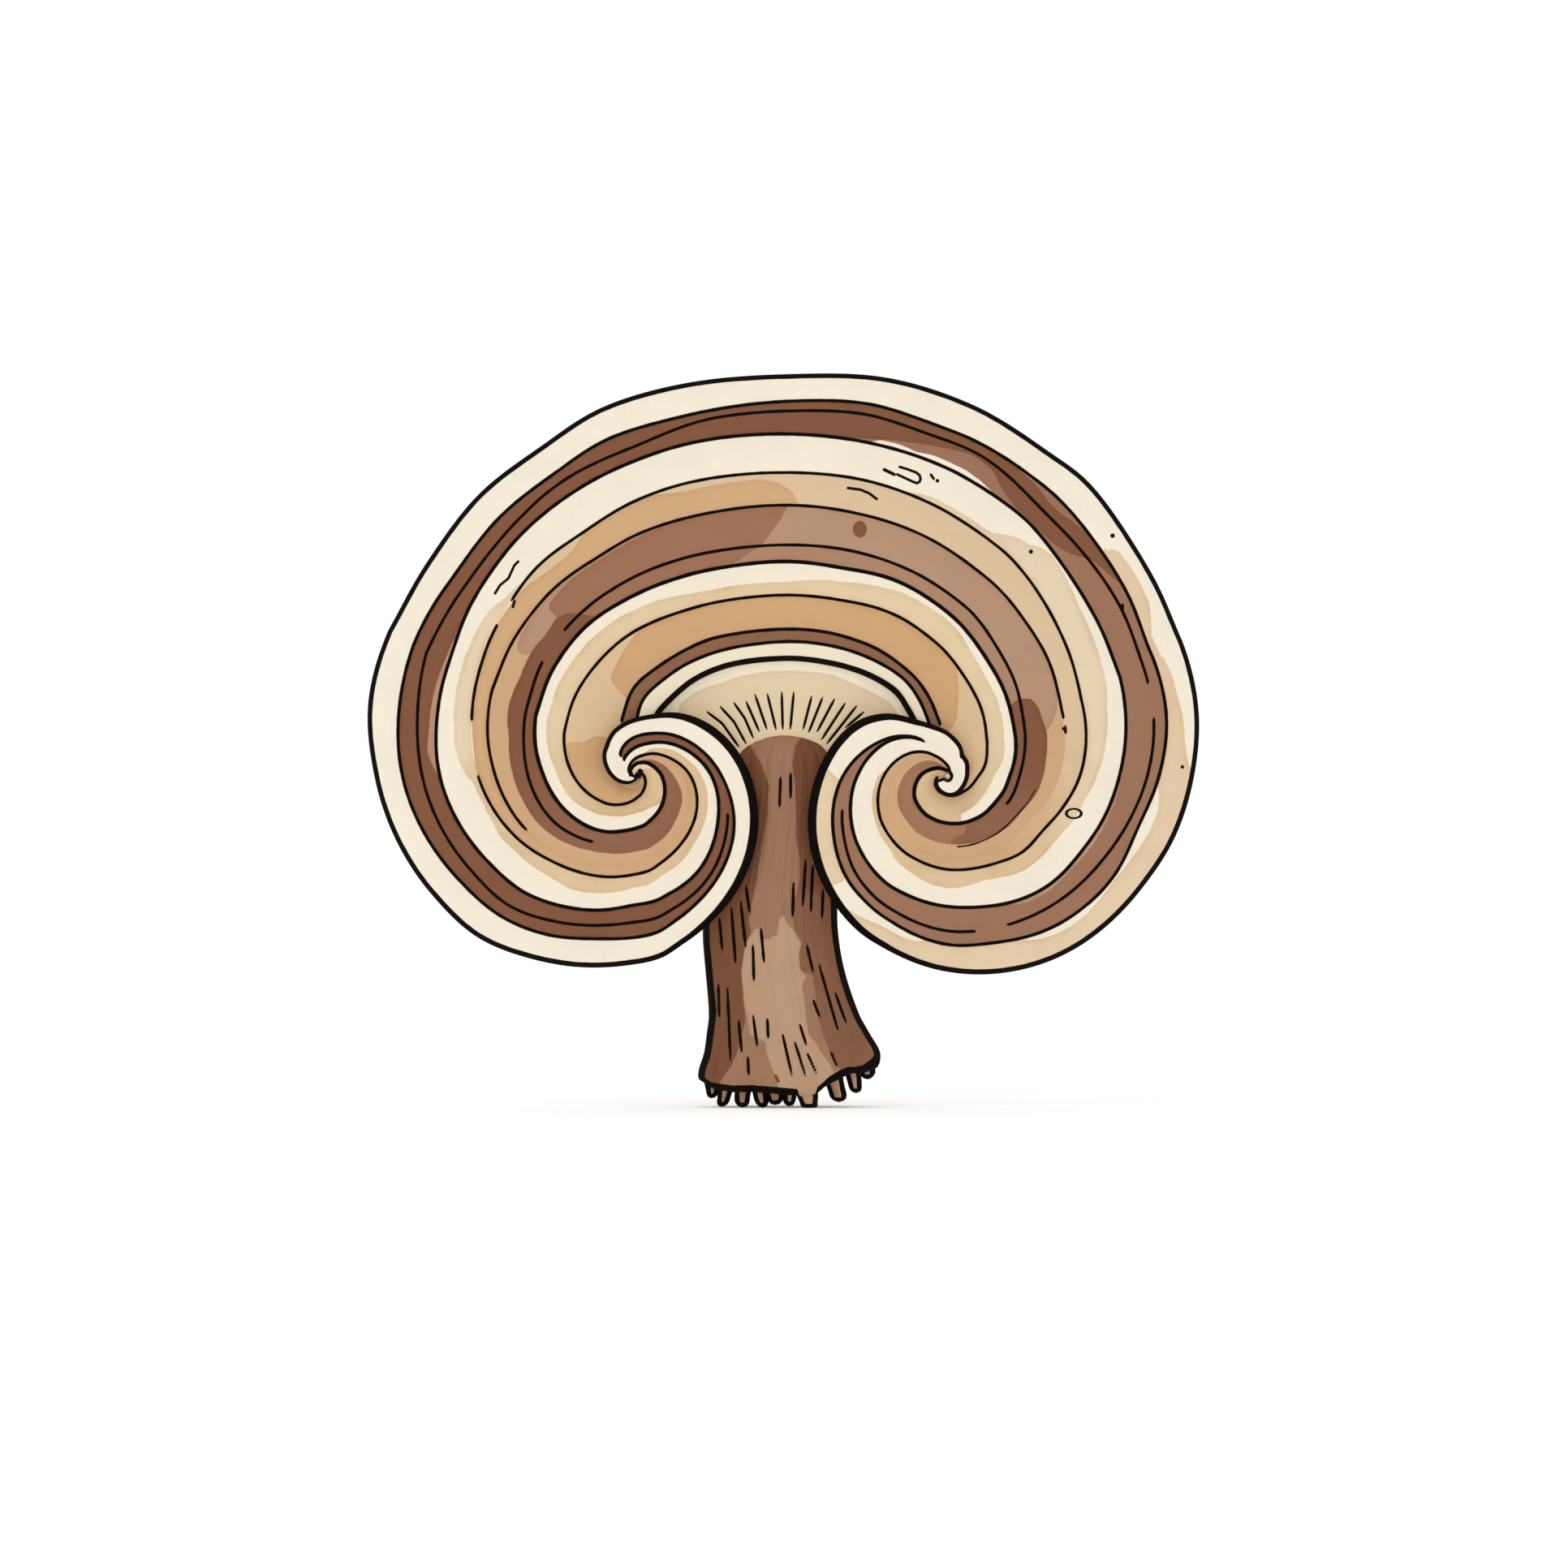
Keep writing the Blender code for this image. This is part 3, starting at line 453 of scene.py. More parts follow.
def line_paces(turn):
    """For each line, how far it runs per degree, and how squarely it crosses the section, from 0 to 1."""
    first = turn if turn < FAN_ENDS[1] else turn - PACE_STEP
    outer, inward, lines = drawn_section(first)
    next_outer, next_inward, next_lines = drawn_section(first + PACE_STEP)
    paces = []
    for distance, next_distance in zip(lines, next_lines):
        run = next_outer + next_inward * next_distance - outer - inward * distance
        squareness = abs(run.normalized().cross(inward)) if run.length > 0 else 1.0
        paces.append((run.length / PACE_STEP, max(squareness, LEAST_SQUARENESS)))
    return paces


def fan_loop(turn):
    """One closed section: for each point its place, and what the skin needs to know there."""
    outer, inward, lines = drawn_section(turn)
    length = lines[-1]
    margin_rounding, inner_rounding = edge_roundings(turn, length)
    face = length - margin_rounding - inner_rounding
    paces = line_paces(turn)
    margin_pen = straight_through(MARGIN_INK, turn)
    inner_pen = INNER_EDGE_INK if abs(turn) < ARCH_END else -1.0
    pens = []
    for line, stretches in LINE_INK.items():
        beyond, pen = nearest_stretch(stretches, turn)
        pace, squareness = paces[line]
        pens.append((lines[line], pen / 2, beyond * pace, squareness))
    beyond, pen = nearest_stretch([STRIP_INK[:3]], turn)
    pens.append((across_bands(lines, STRIP_INK[3]), pen / 2, beyond * paces[5][0], paces[5][1]))
    reaches = [wash_reach(washes, turn, lines) for washes in WASHES.values()]
    last_turn = FAN_ENDS[turn > 0]
    loop = []

    def ink_gap(distance):
        """How far a place on the front is from the nearest dark line, below 0 inside it."""
        to_end = math.radians(abs(last_turn - turn)) * (length - distance + EYE_RADIUS) - END_INK
        gaps = [
            math.hypot((distance - middle) * squareness, past_end) - half
            for middle, half, past_end, squareness in pens
        ]
        return min(distance * paces[0][1] - margin_pen, length - distance - inner_pen, to_end, *gaps)

    def add(distance, depth, zone, ink, back):
        flat = outer + inward * distance
        point = Vector((flat.x, depth - BOX_MIDDLE_DEPTH, flat.y)) * MM
        depths = [wash_depth(reach, distance) for reach in reaches]
        if abs(turn) > SCROLL_START:
            zone = min(zone, SCROLL_LAST_ZONE)
        loop.append((point, (turn, zone, back), (ink, *depths[:2]), depths[2:5], (*depths[5:], 0.0)))

    def along_of(distance):
        return min(max((distance - margin_rounding) / face, 0.0), 1.0)

    def front(distance):
        return front_depth(turn, along_of(distance), length)

    def edge(along, share):
        """A point on the way round an edge to the back: the margin (along 0) or the inner edge (1)."""
        bulge = math.sin(math.pi * share) ** EDGE_FULLNESS
        tuck = (inner_rounding if along else margin_rounding) * (1 - bulge)
        distance = length - tuck if along else tuck
        depth = front_depth(turn, along, length) + fan_thickness(turn, along) * share
        ink = ink_gap(distance) if share <= 0.5 else max(-0.1, share - 0.65)
        add(distance, depth, BANDS * along, ink, smooth(share * 2 - 0.7))

    for band in range(BANDS):
        start, end = lines[band], lines[band + 1]
        width = end - start
        swell = BAND_SWELL[band] * min(1.0, width / FULL_SWELL_WIDTH)
        for step in band_steps(width):
            distance = start + step
            if band == 0:
                distance = max(distance, margin_rounding * (1 + 0.1 * step / width))
            distance = min(distance, length - inner_rounding)
            local = min(max((distance - start) / width, 0.0), 1.0)
            gap = ink_gap(distance)
            groove = GROOVE_DEPTH * smooth(-gap / GROOVE_WIDTH) * min(1.0, width)
            depth = front(distance) - swell * math.sin(math.pi * local) ** 0.8 + groove
            add(distance, depth, band + local, gap, 0.0)
    last = length - inner_rounding
    add(last, front(last), BANDS, ink_gap(last), 0.0)
    for row in range(1, EDGE_ROWS + 1):
        edge(1.0, row / (EDGE_ROWS + 1))
    for row in range(BACK_ROWS + 1):
        along = 1 - row / BACK_ROWS
        distance = margin_rounding + along * face
        add(distance, front(distance) + fan_thickness(turn, along), BANDS * along, 1.0, 1.0)
    for row in range(EDGE_ROWS, 0, -1):
        edge(0.0, row / (EDGE_ROWS + 1))
    loop.append(loop[0])
    return loop


def shaped_grid(name, loops, facts):
    """A grid primitive whose rows take the places of the loops' points, merged where it meets itself.

    Each point of a loop is a place in metres and then one vector for each of the named facts.
    """
    columns, rows = len(loops), len(loops[0])
    bpy.ops.mesh.primitive_grid_add(x_subdivisions=columns - 1, y_subdivisions=rows - 1, size=1)
    piece = bpy.context.object
    piece.name = name
    piece.data.name = name
    vertices = piece.data.vertices
    order = []
    for vertex in vertices:
        column = round((vertex.co.x + 0.5) * (columns - 1))
        row = round((vertex.co.y + 0.5) * (rows - 1))
        order.append(loops[column][row])
    vertices.foreach_set("co", [c for entry in order for c in entry[0]])
    for i, fact in enumerate(facts, start=1):
        layer = piece.data.attributes.new(fact, "FLOAT_VECTOR", "POINT")
        layer.data.foreach_set("vector", [c for entry in order for c in entry[i]])
    piece.location = (0, 0, 0)
    bpy.ops.object.mode_set(mode="EDIT")
    bpy.ops.mesh.select_all(action="SELECT")
    bpy.ops.mesh.remove_doubles(threshold=1e-6)
    bpy.ops.mesh.normals_make_consistent(inside=False)
    bpy.ops.mesh.faces_shade_smooth()
    bpy.ops.object.mode_set(mode="OBJECT")
    return piece


def closing_point(loop):
    """A loop drawn together to its middle, which closes the end of a piece."""
    middle = sum((entry[0] for entry in loop), Vector()) / len(loop)
    return [(middle, *entry[1:]) for entry in loop]


def steps_between(first, last, step):
    """Evenly spaced values from first up to, and without, last."""
    count = round((last - first) / step)
    return [first + (last - first) * i / count for i in range(count)]


fan_turns = steps_between(FAN_ENDS[0], -ARCH_END, SCROLL_STEP)
fan_turns += steps_between(-ARCH_END, ARCH_END, ARCH_STEP)
fan_turns += steps_between(ARCH_END, FAN_ENDS[1], SCROLL_STEP) + [FAN_ENDS[1]]
fan_loops = [fan_loop(turn) for turn in fan_turns]
fan_loops = [closing_point(fan_loops[0])] + fan_loops + [closing_point(fan_loops[-1])]
fan = shaped_grid("fan", fan_loops, ("strip", "marks", "washes", "eyes"))


class Value:
    """An output of a shader node. Arithmetic on values adds the nodes that do it."""

    def __init__(self, tree, socket=None):
        self.tree = tree
        self.socket = socket

    def node(self, kind, settings=None, inputs=None, output=0):
        made = self.tree.nodes.new(kind)
        for name, setting in (settings or {}).items():
            if name == "stops":
                set_stops(made.color_ramp, setting)
            else:
                setattr(made, name, setting)
        for name, value in (inputs or {}).items():
            if isinstance(value, Value):
                self.tree.links.new(value.socket, made.inputs[name])
            else:
                made.inputs[name].default_value = value
        return Value(self.tree, made.outputs[output])

    def maths(self, operation, *values):
        return self.node("ShaderNodeMath", {"operation": operation}, dict(enumerate(values)))

    def __add__(self, other):
        return self.maths("ADD", self, other)

    __radd__ = __add__

    def __sub__(self, other):
        return self.maths("SUBTRACT", self, other)

    def __rsub__(self, other):
        return self.maths("SUBTRACT", other, self)

    def __mul__(self, other):
        return self.maths("MULTIPLY", self, other)

    __rmul__ = __mul__

    def __truediv__(self, other):
        return self.maths("DIVIDE", self, other)

    def above(self, low, high):
        """0 below low, 1 above high and a smooth step between them."""
        inputs = {"Value": self, "From Min": low, "From Max": high}
        return self.node("ShaderNodeMapRange", {"interpolation_type": "SMOOTHSTEP"}, inputs)

    def below(self, low, high):
        return 1 - self.above(low, high)

    def larger(self, other):
        return self.maths("MAXIMUM", self, other)

    def smaller(self, other):
        return self.maths("MINIMUM", self, other)

    def parts(self):
        made = self.node("ShaderNodeSeparateXYZ", inputs={0: self})
        outputs = made.socket.node.outputs
        return [Value(self.tree, outputs[i]) for i in range(3)]

    def scaled(self, x, y, z):
        return self.node("ShaderNodeMapping", inputs={"Vector": self, "Scale": (x, y, z)})

    def size(self):
        return self.maths("ABSOLUTE", self)

    def root(self):
        return self.maths("SQRT", self)

    def noise(self, scale, detail=2.0, roughness=0.5):
        inputs = {"Vector": self, "Scale": scale, "Detail": detail, "Roughness": roughness}
        return self.node("ShaderNodeTexNoise", inputs=inputs)

    def colours(self, stops, interpolation="LINEAR"):
        return self.node("ShaderNodeValToRGB", {"stops": (interpolation, stops)}, {0: self})

    def mixed(self, other, factor, way="MIX"):
        """This colour with another over it."""
        settings = {"data_type": "RGBA", "blend_type": way, "clamp_factor": True}
        return self.node("ShaderNodeMix", settings, {0: factor, 6: self, 7: other}, 2)


def set_stops(ramp, setting):
    ramp.interpolation, stops = setting
    while len(ramp.elements) > 1:
        ramp.elements.remove(ramp.elements[-1])
    for i, (position, colour) in enumerate(stops):
        element = ramp.elements[0] if i == 0 else ramp.elements.new(position)
        element.position = position
        element.color = colour


def paint(red, green, blue):
    """A colour as it looks on paper, 0 to 255, as the light it gives back."""
    return tuple(((c / 255 + 0.055) / 1.055) ** 2.4 for c in (red, green, blue)) + (1.0,)


def new_surface(name, roughness):
    """A material with its shader, and a value to start its expressions from."""
    material = bpy.data.materials.new(name)
    material.use_nodes = True
    tree = material.node_tree
    shader = tree.nodes["Principled BSDF"]
    shader.inputs["Roughness"].default_value = roughness
    shader.inputs["Specular IOR Level"].default_value = 0.05
    return material, shader, Value(tree)


def connect(shader, value, name):
    value.tree.links.new(value.socket, shader.inputs[name])


def facts(start, name):
    """The three values that the mesh keeps at each point under a name."""
    return start.node("ShaderNodeAttribute", {"attribute_name": name}, output="Vector").parts()


def darkened(colour, shade):
    grey = shade.node("ShaderNodeCombineXYZ", inputs={0: shade, 1: shade, 2: shade})
    return colour.mixed(grey, 1.0, "MULTIPLY")


def plain_colour(start, colour):
    made = start.node("ShaderNodeRGB")
    made.socket.default_value = colour
    return made


def fine_grain(place):
    return place.noise(3000, 2.0, 0.7)


def blotches(place, scale, low):
    """Soft blotches, 1 where the pigment has settled most."""
    return place.noise(scale, 4.0, 0.55).above(low, 0.75)


def inked(colour, gap):
    """The colour with ink over it wherever a gap from the dark lines is below 0."""
    return colour.mixed(INK, gap.below(-0.03, 0.03))


def roughened(shader, height, strength, depth):
    """A fine relief on the surface, its depth in metres."""
    inputs = {"Strength": strength, "Distance": depth, "Height": height}
    connect(shader, height.node("ShaderNodeBump", inputs=inputs), "Normal")


INK = paint(14, 10, 9)
# The colour from each band on without a wash, and that of each wash: over the arch, then at the sides.
FAN_BASE = {
    0: (246, 236, 215), 1: (158, 116, 90), 3: (246, 235, 214), 4: (222, 194, 157), 5: (208, 168, 128),
    6: (174, 134, 106), 7: (247, 235, 214), 8: (222, 190, 150), 9: (142, 100, 75), 10: (242, 228, 202),
}
FAN_BASE_SIDE = {**FAN_BASE, 4: (209, 169, 127)}
WASH_COLOURS = {
    "tan": ({0: (228, 201, 167), 3: (232, 211, 179), 7: (229, 205, 167)},
            {0: (230, 206, 172), 3: (225, 197, 158), 7: (222, 191, 150)}),
    "dark": ({0: (133, 88, 64), 4: (159, 114, 87)}, {0: (133, 88, 64), 4: (165, 121, 93)}),
    "strip": ({0: (134, 89, 65)}, {0: (147, 103, 78)}),
    "rose": ({0: (184, 146, 118), 6: (174, 134, 106)}, {0: (188, 150, 124)}),
    "bloom": ({0: (211, 171, 127), 8: (209, 167, 121)}, {0: (209, 169, 127), 8: (211, 170, 125)}),
    "peach": ({0: (242, 218, 186)}, {0: (242, 218, 186)}),
    "pale": ({0: (246, 235, 214)}, {0: (246, 235, 214)}),
}
# Washes are laid one over the other in this order. The last two dry without a darker rim.
WASH_ORDER = ("tan", "bloom", "rose", "dark", "strip", "peach", "pale")
RIMLESS = ("peach", "pale")
WASH_WOBBLE = 0.5
# Pigment gathers where a wash dries: the light it gives back there, as parts of the wash's own.
DRIED_RIM = (0.88, 0.76, 0.63, 1.0)
RIM_WIDTH = 0.7
# The turns over which the colours of the arch give way to those of the sides.
SIDE_TURNS = (65, 150)
# The back is mottled with these two.
FAN_BACK = (paint(238, 226, 202), paint(226, 208, 176))
# Small pen marks on the face: strokes and dots through points (x, z), with the width of the pen.
PEN_MARKS = (
    (0.27, (-25.65, 52.73), (-26.0, 52.4), (-26.6, 51.1), (-27.4, 50.45), (-27.88, 49.67)),
    (0.28, (-26.0, 48.9), (-26.15, 48.35)),
    (0.34, (9.74, 61.62), (10.69, 61.16)),
    (0.28, (11.24, 61.89), (11.99, 61.66), (12.8, 61.36), (13.14, 61.09), (13.24, 60.76),
     (13.15, 60.46), (12.89, 60.31), (12.49, 60.46), (10.99, 61.16)),
    (0.28, (14.25, 61.13), (14.5, 60.76)),
    (0.38, (14.87, 60.55)),
    (0.28, (6.23, 59.84), (7.42, 59.68), (8.27, 59.33), (8.99, 58.78)),
    (0.42, (23.9, 53.69)),
    (0.45, (31.83, 55.26)),
    (0.34, (27.04, 36.58)),
    (0.36, (38.58, 32.89)),
    (0.3, (32.77, 48.56), (32.77, 48.16)),
)
# A ring left by a drop, and a brown blot: middle (x, z), half width and half height.
DROP_RING = ((28.02, 28.39), 0.72, 0.45)
RING_INK = 0.24
BROWN_BLOT = ((7.36, 55.85), 0.74, 0.88)
BLOT_COLOUR = paint(136, 86, 62)


def band_colours(zone, table):
    stops = [(band / BANDS, paint(*colour)) for band, colour in table.items()]
    return (zone / BANDS).colours(stops, "CONSTANT")


def pen_gap(x, z, pen, points):
    """How far a place is from a pen stroke through some points, below 0 inside it."""
    nearest = None
    for (x1, z1), (x2, z2) in zip(points, points[1:] or points):
        aside, above = x - x1, z - z1
        if (x1, z1) != (x2, z2):
            run, rise = x2 - x1, z2 - z1
            part = ((aside * run + above * rise) / (run * run + rise * rise)).larger(0.0).smaller(1.0)
            aside, above = aside - part * run, above - part * rise
        away = (aside * aside + above * above).root() - pen / 2
        nearest = away if nearest is None else nearest.smaller(away)
    return nearest


def oval_share(x, z, middle, half_width, half_height):
    """0 in the middle of an oval, 1 on its edge and more outside it."""
    across = (x - middle[0]) / half_width
    up = (z - middle[1]) / half_height
    return (across * across + up * up).root()


def pale_back(place):
    """The porous back of the sheet."""
    return place.noise(900, 3.0, 0.6).colours([(0.35, FAN_BACK[0]), (0.65, FAN_BACK[1])])


def fan_skin():
    material, shader, start = new_surface("fan_skin", 0.82)
    place = start.node("ShaderNodeTexCoord", output="Object")
    strip = start.node("ShaderNodeAttribute", {"attribute_name": "strip"}, output="Vector")
    turn, zone, back = strip.parts()
    ink, *depths = facts(start, "marks") + facts(start, "washes") + facts(start, "eyes")
    depth_of = dict(zip(WASHES, depths))

    aside = turn.size().above(*SIDE_TURNS)
    wobble = (place.noise(260, 3.0, 0.55) - 0.5) * WASH_WOBBLE
    colour = band_colours(zone, FAN_BASE).mixed(band_colours(zone, FAN_BASE_SIDE), aside)
    rims = None
    for name in WASH_ORDER:
        arch_colours, side_colours = WASH_COLOURS[name]
        depth = depth_of[name] + wobble
        wash = band_colours(zone, arch_colours).mixed(band_colours(zone, side_colours), aside)
        covered = depth.above(-0.04, 0.06)
        colour = colour.mixed(wash, covered)
        if name not in RIMLESS:
            rim = covered * depth.below(0.0, RIM_WIDTH)
            rims = rim if rims is None else rims.larger(rim)
    blotch = blotches(place, 230, 0.35)
    grain = fine_grain(place)
    colour = colour.mixed(DRIED_RIM, rims * (0.12 + blotch * 0.6), "MULTIPLY")
    colour = darkened(colour, 1.01 - blotch * 0.04 - (grain - 0.5) * 0.07)

    across, _, up = place.parts()
    x, z = across * 1000, up * 1000
    blot = oval_share(x, z, *BROWN_BLOT).below(0.85, 1.0)
    colour = colour.mixed(BLOT_COLOUR, blot * (1 - back))
    colour = colour.mixed(pale_back(place), back)
    gap = ink + (place.noise(900, 1.0) - 0.5) * 0.06
    for pen, *points in PEN_MARKS:
        gap = gap.smaller(pen_gap(x, z, pen, points) + back)
    ring = (oval_share(x, z, *DROP_RING) - 1.0).size() * 0.55 - RING_INK / 2
    gap = gap.smaller(ring + back)
    connect(shader, inked(colour, gap), "Base Color")

    fibrils = strip.scaled(2.2, 0.35, 1.0).noise(6.0, 3.0, 0.6)
    pores = place.node("ShaderNodeTexVoronoi", inputs={"Vector": place, "Scale": 3500})
    height = (fibrils * 0.6 + grain * 0.4) * (1 - back) + pores * 0.8 * back
    roughened(shader, height, 0.25, 0.00006)
    return material


fan.data.materials.append(fan_skin())
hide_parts("cap")
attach(fan, "root")

# ---------------------------------------------------------------- the eyes
# The pit in the middle of each scroll is closed by a small rounded plug, where the innermost turns of the
# sheet have grown together. The left one is black, painted shade for the dark of its pit. The right one is
# pale, painted lighter than its own tan: painted light that makes up for the shade in its pit.

EYE_PLUG_RADIUS = 0.3
EYE_PLUG_BACK = 0.1


def eye_skin(name, colour):
    material, shader, _ = new_surface(name, 0.85)
    shader.inputs["Base Color"].default_value = colour
    return material


def eye_plug(name, eye, last_turn, material):
    """A ball drawn out in depth, from the face of the sheet at its last turn to the back of the pit."""
    bpy.ops.mesh.primitive_uv_sphere_add(segments=24, ring_count=16, radius=EYE_PLUG_RADIUS * MM)
    plug = bpy.context.object
    plug.name = name
    front = RIM_FRONT - SCROLL_PITCH * abs(last_turn) / 360
    half_depth = (EYE_PLUG_BACK - front) / 2
    middle = (EYE_PLUG_BACK + front) / 2 - BOX_MIDDLE_DEPTH
    bpy.ops.object.mode_set(mode="EDIT")
    bpy.ops.mesh.select_all(action="SELECT")
    bpy.ops.transform.resize(value=(1, half_depth / EYE_PLUG_RADIUS, 1))
    bpy.ops.transform.translate(value=(eye.x * MM, middle * MM, eye.y * MM))
    bpy.ops.mesh.faces_shade_smooth()
    bpy.ops.object.mode_set(mode="OBJECT")
    plug.location = (0, 0, 0)
    plug.data.materials.append(material)
    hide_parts("cap")
    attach(plug, "root")


# The left plug is black, painted shade for the dark of its pit.
eye_plug("left_eye", LEFT_EYE, FAN_ENDS[0], eye_skin("left_eye_painted_shade", INK))
# The right plug is painted lighter than its own tan, painted light that makes up for the shade in its pit.
eye_plug("right_eye", RIGHT_EYE, FAN_ENDS[1], eye_skin("right_eye_painted_light", paint(236, 210, 178)))

# ---------------------------------------------------------------- the throat
# The throat is the pale inner wall of the same sheet, between the arch and the top of the stem. It is a
# shallow hollow, smooth and cream at its rim, light tan within, with fine furrows that fan out of the stem.

# It is laid out round a hub (x, z) behind the stem's top.
THROAT_HUB = Vector((0.12, 30.3))
THROAT_OUTLINE = (
    (-13.3, 38.1), (-12.0, 40.1), (-9.2, 42.5), (-5.1, 44.1), (0.3, 44.7), (4.8, 44.3),
    (8.6, 43.1), (11.6, 41.2), (13.0, 38.8), (12.2, 33.8), (8.8, 29.6), (4.4, 27.5), (0.0, 27.0),
    (-4.4, 27.5), (-8.8, 29.6), (-12.2, 33.8),
)
# The depth of its face at the rim, and of the hollow behind that, which is reached some way in.
THROAT_FRONT_RIM = -0.35
THROAT_COVE = 0.9
THROAT_COVE_EDGE = 0.45
# Below the top of the stem the wall draws back, so that the stem stands clear of it.
THROAT_LOW_START = math.radians(58)
THROAT_LOW_END = math.radians(85)
THROAT_LOW_STEP = 1.7
# On the back a rounded boss covers the stem's top.
THROAT_BACK_RIM = 1.5
THROAT_BOSS = 4.9
THROAT_BACK_CENTRE = 0.2
# The furrows, each from its outer end (x, z) to its inner end.
FURROWS = (
    ((-7.47, 38.26), (-5.94, 37.1), (-4.32, 34.8)), ((-6.15, 38.74), (-4.8, 37.26), (-3.63, 35.13)),
    ((-4.85, 39.15), (-3.76, 37.6), (-2.92, 35.65)), ((-3.63, 39.23), (-2.35, 36.3)),
    ((-2.76, 39.87), (-1.61, 36.5)), ((-1.58, 39.97), (-0.73, 36.5)), ((-0.18, 40.1), (-0.08, 36.53)),
    ((0.98, 40.1), (0.65, 36.53)), ((2.71, 39.7), (1.89, 36.5)), ((3.79, 39.65), (2.42, 36.2)),
    ((4.95, 39.5), (3.23, 36.26)), ((5.97, 39.06), (3.66, 35.5)), ((7.08, 38.8), (4.19, 35.13)),
    ((7.77, 38.2), (6.0, 36.7)),
)
FURROW_WIDTH = 0.27
FURROW_DEPTH = 0.08
# The ground beside a furrow's dark line: how far inside the line it starts to rise, and over what width.
FURROW_SIDE = (0.1, 0.16)
# The upper edge of the tan wash.
THROAT_TAN_EDGE = (
    (-10.2, 38.3), (-10.05, 38.95), (-8.5, 40.15), (-5.95, 41.05), (-3.7, 41.8), (-0.6, 42.2), (2.8, 42.05),
    (5.35, 41.5), (8.25, 40.3), (10.2, 39.2), (10.9, 38.3),
)
# How finely it is drawn: closely within this angle of the top, where the furrows are, and widely elsewhere.
THROAT_FINE_SPREAD = 52
THROAT_FINE_STEP = 0.25
THROAT_COARSE_STEP = 4
THROAT_RINGS = 60
THROAT_BACK_RINGS = 12


def reach_round_hub(points):
    """Points round the hub as (angle, distance from the hub) keys."""
    corners = [Vector(point) - THROAT_HUB for point in points]
    return sorted((math.atan2(corner.x, corner.y), corner.length) for corner in corners)


def closed_reach(reach):
    """The keys with the last one before them and the first one after them, a whole turn away."""
    (first, first_length), (last, last_length) = reach[0], reach[-1]
    return [(last - math.tau, last_length), *reach, (first + math.tau, first_length)]


def furrow_gap(flat):
    """How far a place is from the nearest furrow's dark line, below 0 inside it. Furrows end in a taper."""
    nearest = 1.0
    for points in FURROWS:
        ends = [Vector(point) for point in points]
        for start, end in zip(ends, ends[1:]):
            part = min(max((flat - start).dot(end - start) / (end - start).length_squared, 0.0), 1.0)
            away = (flat - start.lerp(end, part)).length
            to_tip = min((flat - ends[0]).length, (flat - ends[-1]).length)
            pen = FURROW_WIDTH / 2 * min(1.0, 0.45 + to_tip)
            nearest = min(nearest, away - pen)
    return nearest


def groove_share(gap, start, width):
    """How much of a groove's depth is left at some gap from its dark line."""
    return math.exp(-((max(gap + start, 0) / width) ** 2))


def throat_loop(angle, outline_keys, tan_keys):
    """A closed run of points from the hub over the front to the rim, and over the back to the hub."""
    ray = Vector((math.sin(angle), math.cos(angle)))
    turned = (angle + math.pi) % math.tau - math.pi
    outline = curve_through(outline_keys, turned)
    tan_reach = straight_through(tan_keys, turned)
    low = smooth((abs(turned) - THROAT_LOW_START) / (THROAT_LOW_END - THROAT_LOW_START))
    loop = []

    def add(ring, depth, back):
        flat = THROAT_HUB + ray * (outline * ring)
        gap = furrow_gap(flat) if not back else 1.0
        groove = FURROW_DEPTH * groove_share(gap, *FURROW_SIDE) if not back else 0.0
        point = Vector((flat.x, depth + groove - BOX_MIDDLE_DEPTH, flat.y)) * MM
        loop.append((point, (gap, tan_reach - outline * ring, float(back))))

    for i in range(THROAT_RINGS + 1):
        ring = i / THROAT_RINGS
        cove = THROAT_COVE * smooth((1 - ring) / THROAT_COVE_EDGE)
        add(ring, THROAT_FRONT_RIM + max(cove, THROAT_LOW_STEP * low * ring), False)
    for i in range(THROAT_BACK_RINGS, -1, -1):
        ring = i / THROAT_BACK_RINGS
        boss = THROAT_BOSS * (1 - smooth((ring - THROAT_BACK_CENTRE) / (1 - THROAT_BACK_CENTRE)))
        add(ring, THROAT_BACK_RIM + boss, True)
    return loop


def throat_angles():
    last = 360 - THROAT_FINE_SPREAD
    fine = steps_between(-THROAT_FINE_SPREAD, THROAT_FINE_SPREAD, THROAT_FINE_STEP)
    coarse = steps_between(THROAT_FINE_SPREAD, last, THROAT_COARSE_STEP)
    return [math.radians(angle) for angle in fine + coarse + [last]]


outline_keys = closed_reach(reach_round_hub(THROAT_OUTLINE))
tan_keys = reach_round_hub(THROAT_TAN_EDGE)
throat_loops = [throat_loop(angle, outline_keys, tan_keys) for angle in throat_angles()]
throat = shaped_grid("throat", throat_loops, ("wall",))

# Both are painted lighter than the throat's own cream and tan: painted light that makes up for the shade
# under the arch's edge.
THROAT_CREAM_WITH_PAINTED_LIGHT = paint(255, 242, 214)
THROAT_TAN_WITH_PAINTED_LIGHT = paint(237, 214, 178)


